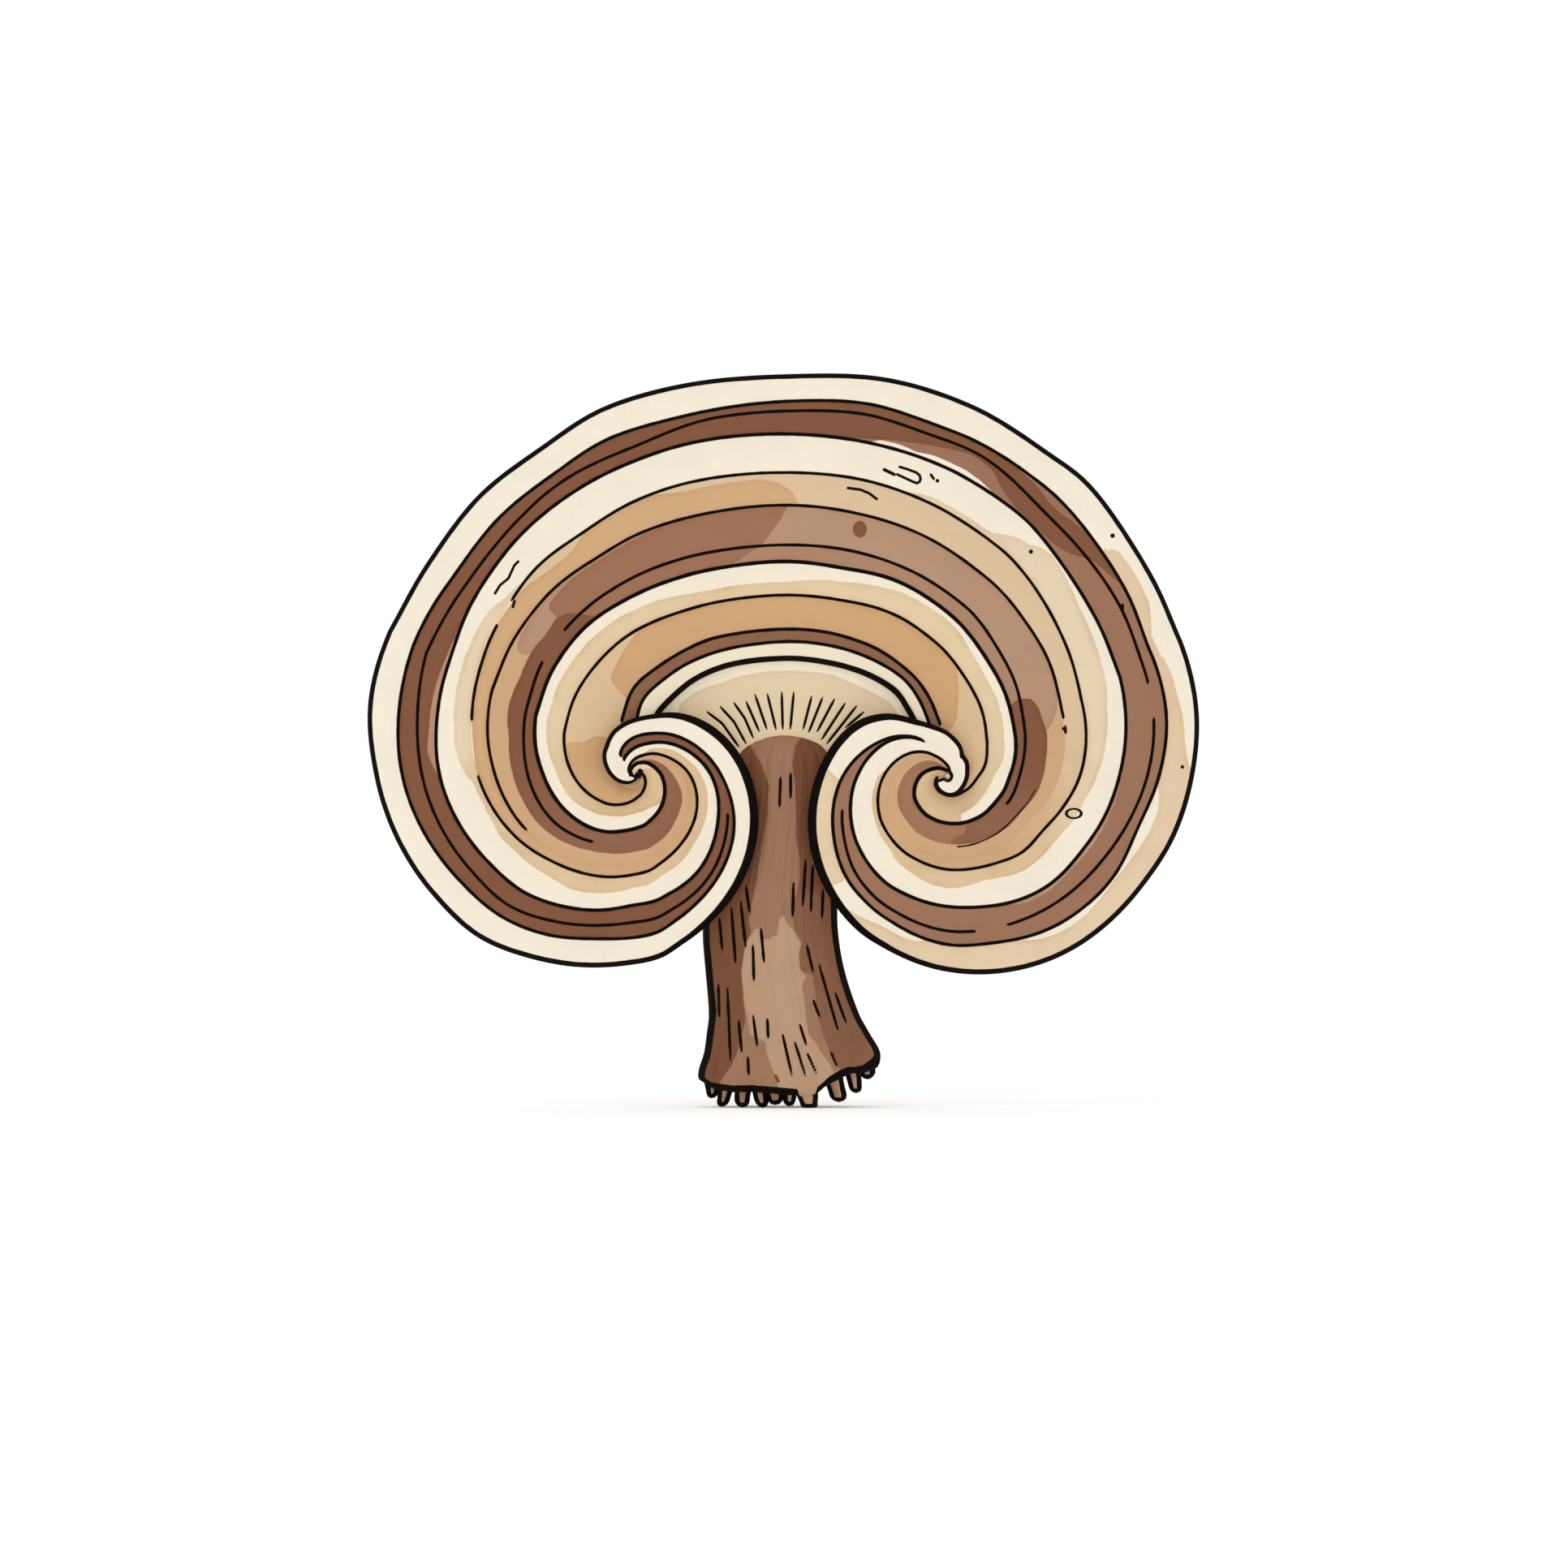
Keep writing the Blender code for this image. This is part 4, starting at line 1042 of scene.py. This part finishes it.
def throat_skin():
    material, shader, start = new_surface("throat_skin", 0.8)
    place = start.node("ShaderNodeTexCoord", output="Object")
    gap, inside, back = facts(start, "wall")
    depth = inside + (place.noise(300, 3.0, 0.6) - 0.5) * 0.5
    tan = depth.above(-0.05, 0.1)
    # The cream and the tan carry painted light against the shade under the arch's edge.
    colour = plain_colour(start, THROAT_CREAM_WITH_PAINTED_LIGHT).mixed(THROAT_TAN_WITH_PAINTED_LIGHT, tan)
    rim = tan * depth.below(0.1, 0.5)
    grain = fine_grain(place)
    blotch = blotches(place, 260, 0.4)
    colour = darkened(colour, 1.01 - rim * 0.05 - blotch * 0.03 - (grain - 0.5) * 0.05)
    colour = colour.mixed(pale_back(place), back)
    connect(shader, inked(colour, gap), "Base Color")
    roughened(shader, grain, 0.2, 0.00006)
    return material


throat.data.materials.append(throat_skin())
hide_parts("cap")
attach(throat, "root")

# ---------------------------------------------------------------- the stem
# The stem is a tough, fibrous column that fits under the throat with a domed top and flares at its foot. It
# is dark brown at both sides with a paler streak down its front, and short dark cracks split it along the
# fibres.

# Its sections from the foot up: height, middle (x, depth), half width and half depth.
STEM_SECTIONS = (
    (1.9, 0.0, 0.9, 7.9, 5.3),
    (3.4, 0.4, 0.9, 8.3, 5.2),
    (5.2, 0.85, 1.1, 8.2, 4.9),
    (7.0, 0.5, 1.5, 7.6, 4.5),
    (9.0, 0.05, 1.8, 6.95, 4.2),
    (12.9, -0.75, 2.2, 6.45, 3.9),
    (17.0, -1.25, 2.4, 6.25, 3.7),
    (21.0, -1.1, 2.45, 6.0, 3.55),
    (25.0, -0.6, 2.3, 5.4, 3.3),
    (29.0, -0.1, 2.05, 4.95, 3.05),
    (33.0, 0.1, 1.9, 4.85, 3.0),
)
STEM_KEYS = [(row[0], Vector(row[1:])) for row in STEM_SECTIONS]
STEM_TOP = STEM_SECTIONS[-1][0]
STEM_DOME_HEIGHT = 3.3
# The dark outline, painted shade where the round sides turn away from the front, is drawn half outside the
# bark's own width.
STEM_OUTSET = 0.25
# The lower edge of the foot: x and height, as seen from the front.
FOOT_EDGE = (
    (-8.2, 2.6), (-7.5, 2.1), (-6.9, 1.75), (-5.0, 1.5), (-3.0, 1.55), (-1.0, 1.4), (0.0, 1.3), (1.2, 1.2),
    (2.4, 1.1), (3.4, 1.5), (4.4, 2.4), (5.5, 3.05), (6.2, 3.33), (6.8, 3.3), (7.6, 3.45), (8.3, 3.9),
    (8.7, 4.3),
)
STEM_COLUMNS = 480
STEM_ROWS = 112
DOME_ROWS = 12
# The underside is a shallow hollow, drawn in rings from its middle out.
UNDERSIDE_RINGS = (0.0, 0.4, 0.75, 0.93)
UNDERSIDE_HOLLOW = 0.5
FOOT_ROUNDING = 0.45
# The dark line along the foot: its height, measured from a little below the foot's edge, and a factor for it
# on the right, where the foot slopes. Between two x, where the heel grows out, it fades away.
FOOT_INK = 0.78
FOOT_INK_START = 0.1
RIGHT_FOOT_INK = 0.95
HEEL_GAP = (1.6, 3.0)
HEEL_GAP_FADE = 0.3
# Fibres stand out by about this much. Each layer of them: strength, how closely they stand round the stem,
# and how fast they change with height.
FIBRE_DEPTH = 0.1
FIBRE_LAYERS = ((2.6, 3.1, 0.06), (1.1, 16, 0.1), (0.5, 42, 0.22))
CRACK_DEPTH = 0.14
# As with the furrows: how far inside a crack's dark line the ground starts to rise, and over what width.
CRACK_SIDE = (0.08, 0.14)
# The cracks seen from the front: upper end (x, z), lower end (x, z).
CRACKS = (
    ((-3.7, 21.4), (-3.3, 18.8)), ((-4.2, 19.9), (-3.7, 15.5)), ((-5.1, 19.2), (-4.7, 14.0)),
    ((-6.3, 18.3), (-6.0, 15.2)), ((1.0, 21.7), (0.9, 18.4)), ((2.2, 23.9), (1.9, 19.5)),
    ((2.9, 23.4), (2.7, 19.0)), ((3.9, 21.0), (3.8, 18.3)), ((-2.2, 17.3), (-1.9, 14.0)),
    ((-3.0, 15.7), (-2.9, 12.3)), ((2.3, 15.7), (2.9, 13.1)), ((3.5, 13.8), (5.3, 7.5)),
    ((5.1, 11.0), (6.1, 8.2)), ((2.9, 10.4), (3.5, 8.8)), ((-6.4, 11.9), (-6.3, 8.7)),
    ((-5.5, 11.5), (-5.2, 4.6)), ((-4.4, 8.4), (-4.1, 5.4)), ((-3.0, 8.9), (-2.6, 6.0)),
    ((-1.6, 8.6), (-1.5, 6.7)), ((-0.1, 7.1), (0.8, 3.2)), ((1.1, 6.3), (2.1, 3.2)),
    ((1.6, 8.0), (2.2, 6.1)), ((2.3, 5.3), (3.2, 3.3)), ((4.6, 5.4), (5.2, 4.0)),
    ((-3.5, 4.9), (-3.4, 3.2)), ((-0.3, 31.9), (-0.4, 29.1)), ((0.7, 32.3), (0.7, 29.9)),
)
CRACK_WIDTH = 0.31
# A crack's width at its tips, as a part of its full width, and how fast it widens from there.
FRONT_CRACK_TAPER = (0.6, 2.0)
BACK_CRACK_TAPER = (0.35, 3.0)
BACK_CRACKS = 70
# The pale streaks and the middling one round them: height, left edge x, right edge x.
PALE_STREAKS = (
    ((1.0, -0.4, 5.0), (2.9, -0.7, 5.0), (4.0, -1.3, 4.6), (5.5, -1.7, 3.6), (6.4, -1.7, 3.0),
     (7.0, -3.3, 2.4), (9.2, -3.65, 2.2), (10.5, -3.85, 2.05), (11.8, -3.95, 1.8), (12.6, -4.0, 2.3),
     (13.3, -4.0, 1.6), (15.0, -3.75, 1.45), (15.9, -3.55, 1.7), (16.3, -3.35, 1.35)),
    ((16.25, -3.35, -2.2), (17.4, -2.6, -2.4)),
    ((16.25, -0.9, 1.35), (17.0, -0.7, 1.0), (18.2, -0.45, 0.2), (18.7, 0.0, 0.0)),
)
MID_STREAKS = (
    ((1.0, -7.0, 5.8), (2.2, -6.4, 5.8), (3.4, -5.6, 5.8), (4.2, -5.0, 5.0), (5.6, -4.4, 4.4),
     (7.0, -4.0, 3.75), (8.6, -3.75, 3.4), (10.4, -3.9, 3.2), (12.8, -4.0, 2.9), (13.2, -4.0, 1.6),
     (15.0, -3.75, 1.45), (16.0, -3.5, 1.75), (17.0, -3.1, 1.1), (18.0, -3.3, 0.95), (20.0, -3.0, 1.1),
     (22.0, -2.6, 1.55), (24.0, -2.25, 1.6), (26.2, -1.95, 1.3), (28.0, -1.55, 1.25), (31.0, -1.35, 1.1),
     (33.0, -2.1, 0.85), (34.0, -2.7, 0.95), (35.0, -3.3, 1.15), (35.8, -4.0, 1.9), (37.5, -4.5, 2.0)),
)
# The width of the dark line down each side, painted shade where the round side turns away from the front.
STEM_SIDE_SHADE_WIDTH = 0.6
# Past the front half, the gap from the painted shade line down the side, and how fast it grows.
BACK_SIDE_SHADE_FADE = (0.02, 0.4)


def foot_edge(x):
    return straight_through(FOOT_EDGE, x)


def one_crack_gap(part, aside, beyond, taper):
    """The gap from a crack that tapers to both tips, for a place beside some part of its length."""
    tip, widening = taper
    pen = CRACK_WIDTH / 2 * min(1.0, tip + widening * min(part, 1 - part))
    return math.hypot(aside, beyond) - pen


def front_crack_gap(x, z):
    """How far a place on the front is from the nearest crack, below 0 inside it."""
    nearest = 1.0
    for (x1, z1), (x2, z2) in CRACKS:
        if z2 - 0.5 < z < z1 + 0.5:
            part = min(max((z1 - z) / (z1 - z2), 0.0), 1.0)
            aside = abs(x - (x1 + (x2 - x1) * part))
            beyond = max(z - z1, z2 - z, 0.0)
            nearest = min(nearest, one_crack_gap(part, aside, beyond, FRONT_CRACK_TAPER))
    return nearest


def spread_cracks():
    """Cracks scattered evenly over the back: angle round the stem, height of the upper end, and length."""
    made = []
    for i in range(BACK_CRACKS):
        spot = Vector((i * 0.618, i * 0.271, 3.7))
        angle = 12 + 156 * ((i * 0.618) % 1.0)
        upper = 5 + 30 * ((i * 0.414) % 1.0)
        length = 2.0 + 3.2 * abs(noise.noise(spot * 3.1))
        made.append((math.radians(angle), upper, length))
    return made


back_cracks = spread_cracks()


def back_crack_gap(angle, z, half_width):
    """How far a place on the back is from the nearest crack, below 0 inside it."""
    nearest = 1.0
    for crack, upper, length in back_cracks:
        if upper - length - 0.4 < z < upper + 0.4:
            part = min(max((upper - z) / length, 0.0), 1.0)
            aside = abs(angle - crack - 0.05 * (part - 0.5)) * half_width
            beyond = max(z - upper, upper - length - z, 0.0)
            nearest = min(nearest, one_crack_gap(part, aside, beyond, BACK_CRACK_TAPER))
    return nearest


def inside_streaks(streaks, x, z):
    """How far inside the nearest of some streaks a place lies, below 0 outside them all."""
    deepest = NO_WASH
    for keys in streaks:
        if keys[0][0] <= z <= keys[-1][0]:
            left = straight_through([(key[0], key[1]) for key in keys], z)
            right = straight_through([(key[0], key[2]) for key in keys], z)
            deepest = max(deepest, min(x - left, right - x))
    return deepest


def stem_point(angle, height, shrink, lift, inset, fade):
    """A point of the stem's skin, with its facts. angle 0 is to the right and 90 degrees to the back."""
    x, y, half_width, half_depth = curve_through(STEM_KEYS, max(height, STEM_SECTIONS[0][0]))
    half_width += STEM_OUTSET
    ray = Vector((math.cos(angle), math.sin(angle), 0.0))
    relief = sum(
        strength * noise.noise(ray * count + Vector((0, 0, height * rise)))
        for strength, count, rise in FIBRE_LAYERS
    )
    fibre = FIBRE_DEPTH * relief * fade
    across = (half_width + fibre - inset) * shrink
    deep = (half_depth + fibre - inset) * shrink
    flat_x = x + across * ray.x
    z = height + lift
    front = math.sin(angle) < 0.0
    gap = front_crack_gap(flat_x, z) if front else back_crack_gap(angle, z, half_width)
    push = CRACK_DEPTH * groove_share(gap, *CRACK_SIDE) * fade * shrink
    point = Vector((flat_x - push * ray.x, y + deep * ray.y - push * ray.y - BOX_MIDDLE_DEPTH, z)) * MM
    # The dark line down each side, painted shade where the round side turns away from the front, lies on the
    # front half of the edge alone.
    edge = half_width * shrink - abs(flat_x - x)
    if front:
        outline = edge - STEM_SIDE_SHADE_WIDTH
    else:
        outline = BACK_SIDE_SHADE_FADE[0] + half_depth * abs(ray.y) * BACK_SIDE_SHADE_FADE[1]
    pale = inside_streaks(PALE_STREAKS, flat_x, z) if front else NO_WASH
    middle = inside_streaks(MID_STREAKS, flat_x, z) if front else NO_WASH
    return point, (gap, outline, pale), (middle, 0.0, 0.0)


def foot_ink(x):
    """How high the dark line along the foot reaches. It is left out where the heel grows out of the foot."""
    left = smooth((HEEL_GAP[0] - x) / HEEL_GAP_FADE)
    right = smooth((x - HEEL_GAP[1]) / HEEL_GAP_FADE) * RIGHT_FOOT_INK
    return FOOT_INK * max(left, right) - FOOT_INK_START


def stem_column(i):
    """A run of points from the middle of the underside over the foot and up to the top of the dome."""
    angle = math.tau * i / STEM_COLUMNS
    foot_x = STEM_KEYS[0][1][0] + STEM_KEYS[0][1][2] * math.cos(angle)
    column = []
    for ring in UNDERSIDE_RINGS:
        level = foot_edge(foot_x * ring) + UNDERSIDE_HOLLOW * (1 - ring)
        point, gaps, streaks = stem_point(angle, level, ring, 0.0, FOOT_ROUNDING * ring, 1.0)
        column.append((point, (1.0, 0.5, gaps[2]), streaks))
    lowest = foot_edge(foot_x)
    for row in range(STEM_ROWS + 1):
        share = row / STEM_ROWS
        height = lowest + (STEM_TOP - lowest) * share
        above = height - lowest
        inset = FOOT_ROUNDING * (1 - min(1.0, above / FOOT_ROUNDING)) ** 2
        point, gaps, streaks = stem_point(angle, height, 1.0, 0.0, inset, 1.0)
        across = point.x / MM
        outline = min(gaps[1], height - foot_edge(across) - foot_ink(across))
        column.append((point, (gaps[0], outline, gaps[2]), streaks))
    for row in range(1, DOME_ROWS + 1):
        bend = math.pi / 2 * row / DOME_ROWS
        shrink = math.cos(bend) if row < DOME_ROWS else 0.0
        lift = STEM_DOME_HEIGHT * math.sin(bend)
        point, gaps, streaks = stem_point(angle, STEM_TOP, shrink, lift, 0.0, shrink)
        column.append((point, (gaps[0], 0.5, gaps[2]), streaks))
    return column


stem_columns = [stem_column(i) for i in range(STEM_COLUMNS)]
stem = shaped_grid("stem_bark", stem_columns + stem_columns[:1], ("bark", "streaks"))

# Short brown strokes between the cracks: width, then the two ends (x, z).
BROWN_STROKES = (
    (0.4, (0.0, 19.8), (0.0, 18.7)), (0.3, (-0.75, 3.1), (-0.5, 2.6)), (0.5, (-6.2, 6.5), (-6.75, 3.1)),
)
BROWN_STROKE = paint(119, 76, 52)
BARK_DARK = paint(127, 83, 59)
BARK_RIGHT = paint(139, 97, 72)
BARK_MID = paint(163, 122, 94)
BARK_PALE = paint(191, 154, 125)


def stem_bark():
    material, shader, start = new_surface("stem_bark", 0.85)
    place = start.node("ShaderNodeTexCoord", output="Object")
    gap, outline, pale = facts(start, "bark")
    middle = facts(start, "streaks")[0]
    x, y, z = (value * 1000 for value in place.parts())
    wobble = (place.scaled(1, 1, 0.4).noise(400, 3.0, 0.6) - 0.5) * 0.7
    # Low on its right side the front is a little lighter.
    right_side = (x + wobble * 2).above(0.0, 0.6) * (z + wobble * 4).below(20.0, 22.0) * y.below(-1.5, 1.5)
    colour = plain_colour(start, BARK_DARK).mixed(BARK_RIGHT, right_side)
    colour = colour.mixed(BARK_MID, (middle + wobble).above(-0.05, 0.12))
    colour = colour.mixed(BARK_PALE, (pale + wobble).above(-0.05, 0.12))
    fibres = place.scaled(1, 1, 0.06).noise(2600, 3.0, 0.6)
    grain = fine_grain(place)
    blotch = blotches(place, 260, 0.4)
    colour = darkened(colour, 1.01 - blotch * 0.05 - (grain - 0.5) * 0.08 - (fibres - 0.5) * 0.14)
    for pen, *points in BROWN_STROKES:
        stroke = pen_gap(x, z, pen, points).below(-0.05, 0.05) * (y + 2.0).below(-0.5, 0.5)
        colour = colour.mixed(BROWN_STROKE, stroke)
    tremor = (place.noise(900, 1.0) - 0.5) * 0.08
    # The dark lines go over the colour: the cracks, and the outline, whose side lines are painted shade.
    connect(shader, inked(colour, gap.smaller(outline) + tremor), "Base Color")
    roughened(shader, fibres * 0.7 + grain * 0.3, 0.4, 0.0001)
    return material


stem_material = stem_bark()
stem.data.materials.append(stem_material)
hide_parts("stem")
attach(stem, "root")

# ---------------------------------------------------------------- the root tips
# Short blunt roots grow out of the foot all round, torn or cut where the fungus left the wood. They are one
# growth with the stem. The heel stands among them, a lobe of the foot that is cut level and carries the
# weight.

# The roots of the front row: x, radius, how far the tip leans to the right, and the height of the tip.
FRONT_ROOTS = (
    (-6.85, 0.72, -0.15, 0.85), (-5.6, 0.76, -0.35, 0.05), (-3.9, 0.85, 0.0, 0.0), (-2.3, 0.78, 0.22, 0.0),
    (-0.95, 0.95, 0.05, 0.25), (0.5, 0.72, 0.08, 0.15), (4.75, 1.0, 0.5, 0.5), (6.4, 0.78, 0.6, 1.35),
    (8.0, 0.85, 0.2, 2.65),
)
# They stand this many times their radius inside the edge of the foot.
FRONT_ROOT_INSET = 2.1
# Behind each front root stand two more: how far back, as parts of the foot's half depth, and their size.
BACK_ROW_SHARES = (0.1, 0.75)
BACK_ROOT_SIZE = 0.95
ROOT_BURIED = 1.0
# A root's width at its top, as a part of its radius, and how much of that is lost on the way to the tip.
ROOT_TAPER = (1.1, 0.35)
ROOT_KNOTS = 0.12
ROOT_BEND = 0.1
ROOT_COLUMNS = 48
ROOT_ROWS = 20
# The width of the dark line round each root, painted shade where its round sides turn away from the front.
ROOT_OUTLINE_SHADE_WIDTH = 0.5
# How far inside the bark's middling and pale streaks the roots and the heel count as lying.
# For the roots, the small share of the pale streak is painted light, which makes up for the shade under the
# foot; their middling tone is their own.
ROOT_STREAKS_WITH_PAINTED_LIGHT = (0.3, 0.03)
HEEL_STREAKS = (0.3, 1.0)
# The heel: its middle (x, depth), half width and half length.
HEEL = (2.5, 0.7, 0.84, 4.4)
HEEL_LEAN = -0.17
# The dark line round the heel's front half is painted shade where its sides turn away from the front.
HEEL_OUTLINE_SHADE_WIDTH = 0.52
HEEL_OUTLINE_SHADE_START = 0.1
HEEL_BACK_EDGE = 0.3
HEEL_COLUMNS = 96
# Its rings from the middle of its cut face up: height, and width as a part of the full one. Past the full
# width it lengthens by less than it widens.
HEEL_RINGS = (
    (0.0, 0.0), (0.0, 0.85), (0.06, 0.94), (0.2, 1.0), (0.5, 1.06), (1.0, 1.22), (1.6, 1.3), (3.0, 1.35),
)
HEEL_LENGTHENING = 0.08
HEEL_SQUARENESS = 0.6


def bark_facts(outline, streaks):
    """What the bark needs to know where there is no crack."""
    middle, pale = streaks
    return (1.0, outline, pale), (middle, 0.0, 0.0)


def root_outline_shade(width, angle, from_tip):
    """The gap from the dark line down each side of a root's front half and round its tip, painted shade
    where the round sides turn away from the front.
    """
    edge = width * (1 - abs(math.cos(angle))) if math.sin(angle) <= 0 else 1.0
    return min(edge, from_tip) - ROOT_OUTLINE_SHADE_WIDTH


def ring_middle(columns, row):
    """The middle of the ring that the points of one row make."""
    return sum((column[row][0] for column in columns), Vector()) / len(columns)


def root_tip(name, x, y, radius, lean, tip_height):
    """A finger from inside the foot to its round tip, a little bent and knotted on the way."""
    top = Vector((x, y, foot_edge(x) + ROOT_BURIED))
    tip = Vector((x + lean, y, tip_height))
    length = (top - tip).length
    columns = []
    for i in range(ROOT_COLUMNS):
        angle = math.tau * i / ROOT_COLUMNS
        column = []
        for row in range(ROOT_ROWS + 1):
            share = row / ROOT_ROWS
            left = length * (1 - share)
            taper = radius * (ROOT_TAPER[0] - ROOT_TAPER[1] * share)
            width = taper
            if left < taper:
                width *= math.sqrt(max(0.0, 1 - (1 - left / taper) ** 2))
            if row < ROOT_ROWS:
                width += noise.noise(Vector((x * 2, share * 2.2, angle * 0.3))) * ROOT_KNOTS * radius
            centre = top.lerp(tip, share)
            across = width * math.cos(angle) + ROOT_BEND * radius * math.sin(share * math.pi + x)
            deep = width * math.sin(angle)
            point = Vector((centre.x + across, centre.y + deep - BOX_MIDDLE_DEPTH, centre.z)) * MM
            column.append((point, *bark_facts(root_outline_shade(taper, angle, left), ROOT_STREAKS_WITH_PAINTED_LIGHT)))
        columns.append(column)
    # The top is closed in the middle of its ring, where it is buried in the foot.
    middle = ring_middle(columns, 0)
    columns = [[(middle, *column[0][1:])] + column for column in columns]
    return shaped_grid(name, columns + columns[:1], ("bark", "streaks"))


def heel_lobe():
    """The heel, a blunt upright wedge with squared sides and a dark line round its front half, painted shade
    where its sides turn away from the front.
    """
    x, y, half_width, half_length = HEEL
    columns = []
    for i in range(HEEL_COLUMNS):
        angle = math.tau * i / HEEL_COLUMNS
        squared = math.copysign(abs(math.cos(angle)) ** HEEL_SQUARENESS, math.cos(angle))
        column = []
        for height, spread in HEEL_RINGS:
            reach = spread if spread < 1 else 1 + HEEL_LENGTHENING * (spread - 1)
            across = x + half_width * spread * squared + HEEL_LEAN * height
            along = y + half_length * reach * math.sin(angle)
            edge = half_width * spread * (1 - abs(squared)) if math.sin(angle) < 0 else HEEL_BACK_EDGE
            outline = min(edge, HEEL_OUTLINE_SHADE_START + height) - HEEL_OUTLINE_SHADE_WIDTH
            point = Vector((across, along - BOX_MIDDLE_DEPTH, height)) * MM
            column.append((point, *bark_facts(outline, HEEL_STREAKS)))
        columns.append(column)
    middle = ring_middle(columns, -1)
    columns = [column + [(middle, *column[-1][1:])] for column in columns]
    return shaped_grid("heel", columns + columns[:1], ("bark", "streaks"))


def all_roots():
    """The front row along the edge of the foot, and the rows behind it."""
    centre_x, centre_y, half_width, half_depth = STEM_SECTIONS[0][1:]
    made = []
    for i, (x, radius, lean, tip_height) in enumerate(FRONT_ROOTS):
        chord = math.sqrt(max(0.05, 1 - ((x - centre_x) / half_width) ** 2))
        y = centre_y - max(0.0, half_depth * chord - FRONT_ROOT_INSET * radius)
        made.append(root_tip(f"front_root_{i}", x, y, radius, lean, tip_height))
        for row, share in enumerate(BACK_ROW_SHARES):
            back_y = centre_y + share * half_depth * chord
            size = BACK_ROOT_SIZE * radius
            made.append(root_tip(f"back_root_{i}_{row}", x, back_y, size, lean, max(tip_height, 0.0)))
    return made


for root in all_roots() + [heel_lobe()]:
    root.data.materials.append(stem_material)
    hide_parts("stem")
    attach(root, "root")

# ---------------------------------------------------------------- the stage
# A plain white floor and white surroundings give an even, soft light, with one broad lamp from the upper
# left that shows the relief. The camera looks level at the front face through a long lens.

# The width of the picture at the part, and the point that it is centred on.
IMAGE_WIDTH = 151.66
VIEW_MIDDLE = Vector((0.04, 0.0, 31.24))
LENS = 300.0
SENSOR = 36.0
SKY_LIGHT = 0.85
KEY_LIGHT = 1.0
FLOOR_GLOW = 0.2


def stage_floor():
    bpy.ops.mesh.primitive_plane_add(size=40.0)
    floor = bpy.context.object
    floor.name = "floor"
    material, shader, _ = new_surface("floor_white", 0.9)
    shader.inputs["Base Color"].default_value = (0.97, 0.97, 0.97, 1.0)
    shader.inputs["Emission Color"].default_value = (1.0, 1.0, 1.0, 1.0)
    shader.inputs["Emission Strength"].default_value = FLOOR_GLOW
    floor.data.materials.append(material)


def soft_lamp(name, size, power, place, target):
    data = bpy.data.lights.new(name, "AREA")
    data.size = size
    data.energy = power
    lamp = bpy.data.objects.new(name, data)
    lamp.location = place
    lamp.rotation_euler = (Vector(target) - Vector(place)).to_track_quat("-Z", "Y").to_euler()
    bpy.context.scene.collection.objects.link(lamp)


def white_surroundings():
    """White for the camera, and a little dimmer where it lights the part."""
    world = bpy.data.worlds.new("studio")
    world.use_nodes = True
    background = world.node_tree.nodes["Background"]
    background.inputs["Color"].default_value = (1, 1, 1, 1)
    seen = Value(world.node_tree).node("ShaderNodeLightPath", output="Is Camera Ray")
    connect(background, seen * (1.0 - SKY_LIGHT) + SKY_LIGHT, "Strength")
    bpy.context.scene.world = world


def front_camera():
    data = bpy.data.cameras.new("front")
    data.lens = LENS
    data.sensor_width = SENSOR
    data.clip_start = 0.01
    data.clip_end = 100
    camera = bpy.data.objects.new("front", data)
    distance = IMAGE_WIDTH * LENS / SENSOR
    camera.location = (VIEW_MIDDLE - Vector((0, distance, 0))) * MM
    camera.rotation_euler = (math.pi / 2, 0, 0)
    bpy.context.scene.collection.objects.link(camera)
    bpy.context.scene.camera = camera


stage_floor()
white_surroundings()
soft_lamp("key", 0.5, KEY_LIGHT, (-0.45, -0.8, 0.75), (0, 0, 0.035))
front_camera()
bpy.context.scene.view_settings.view_transform = "Standard"
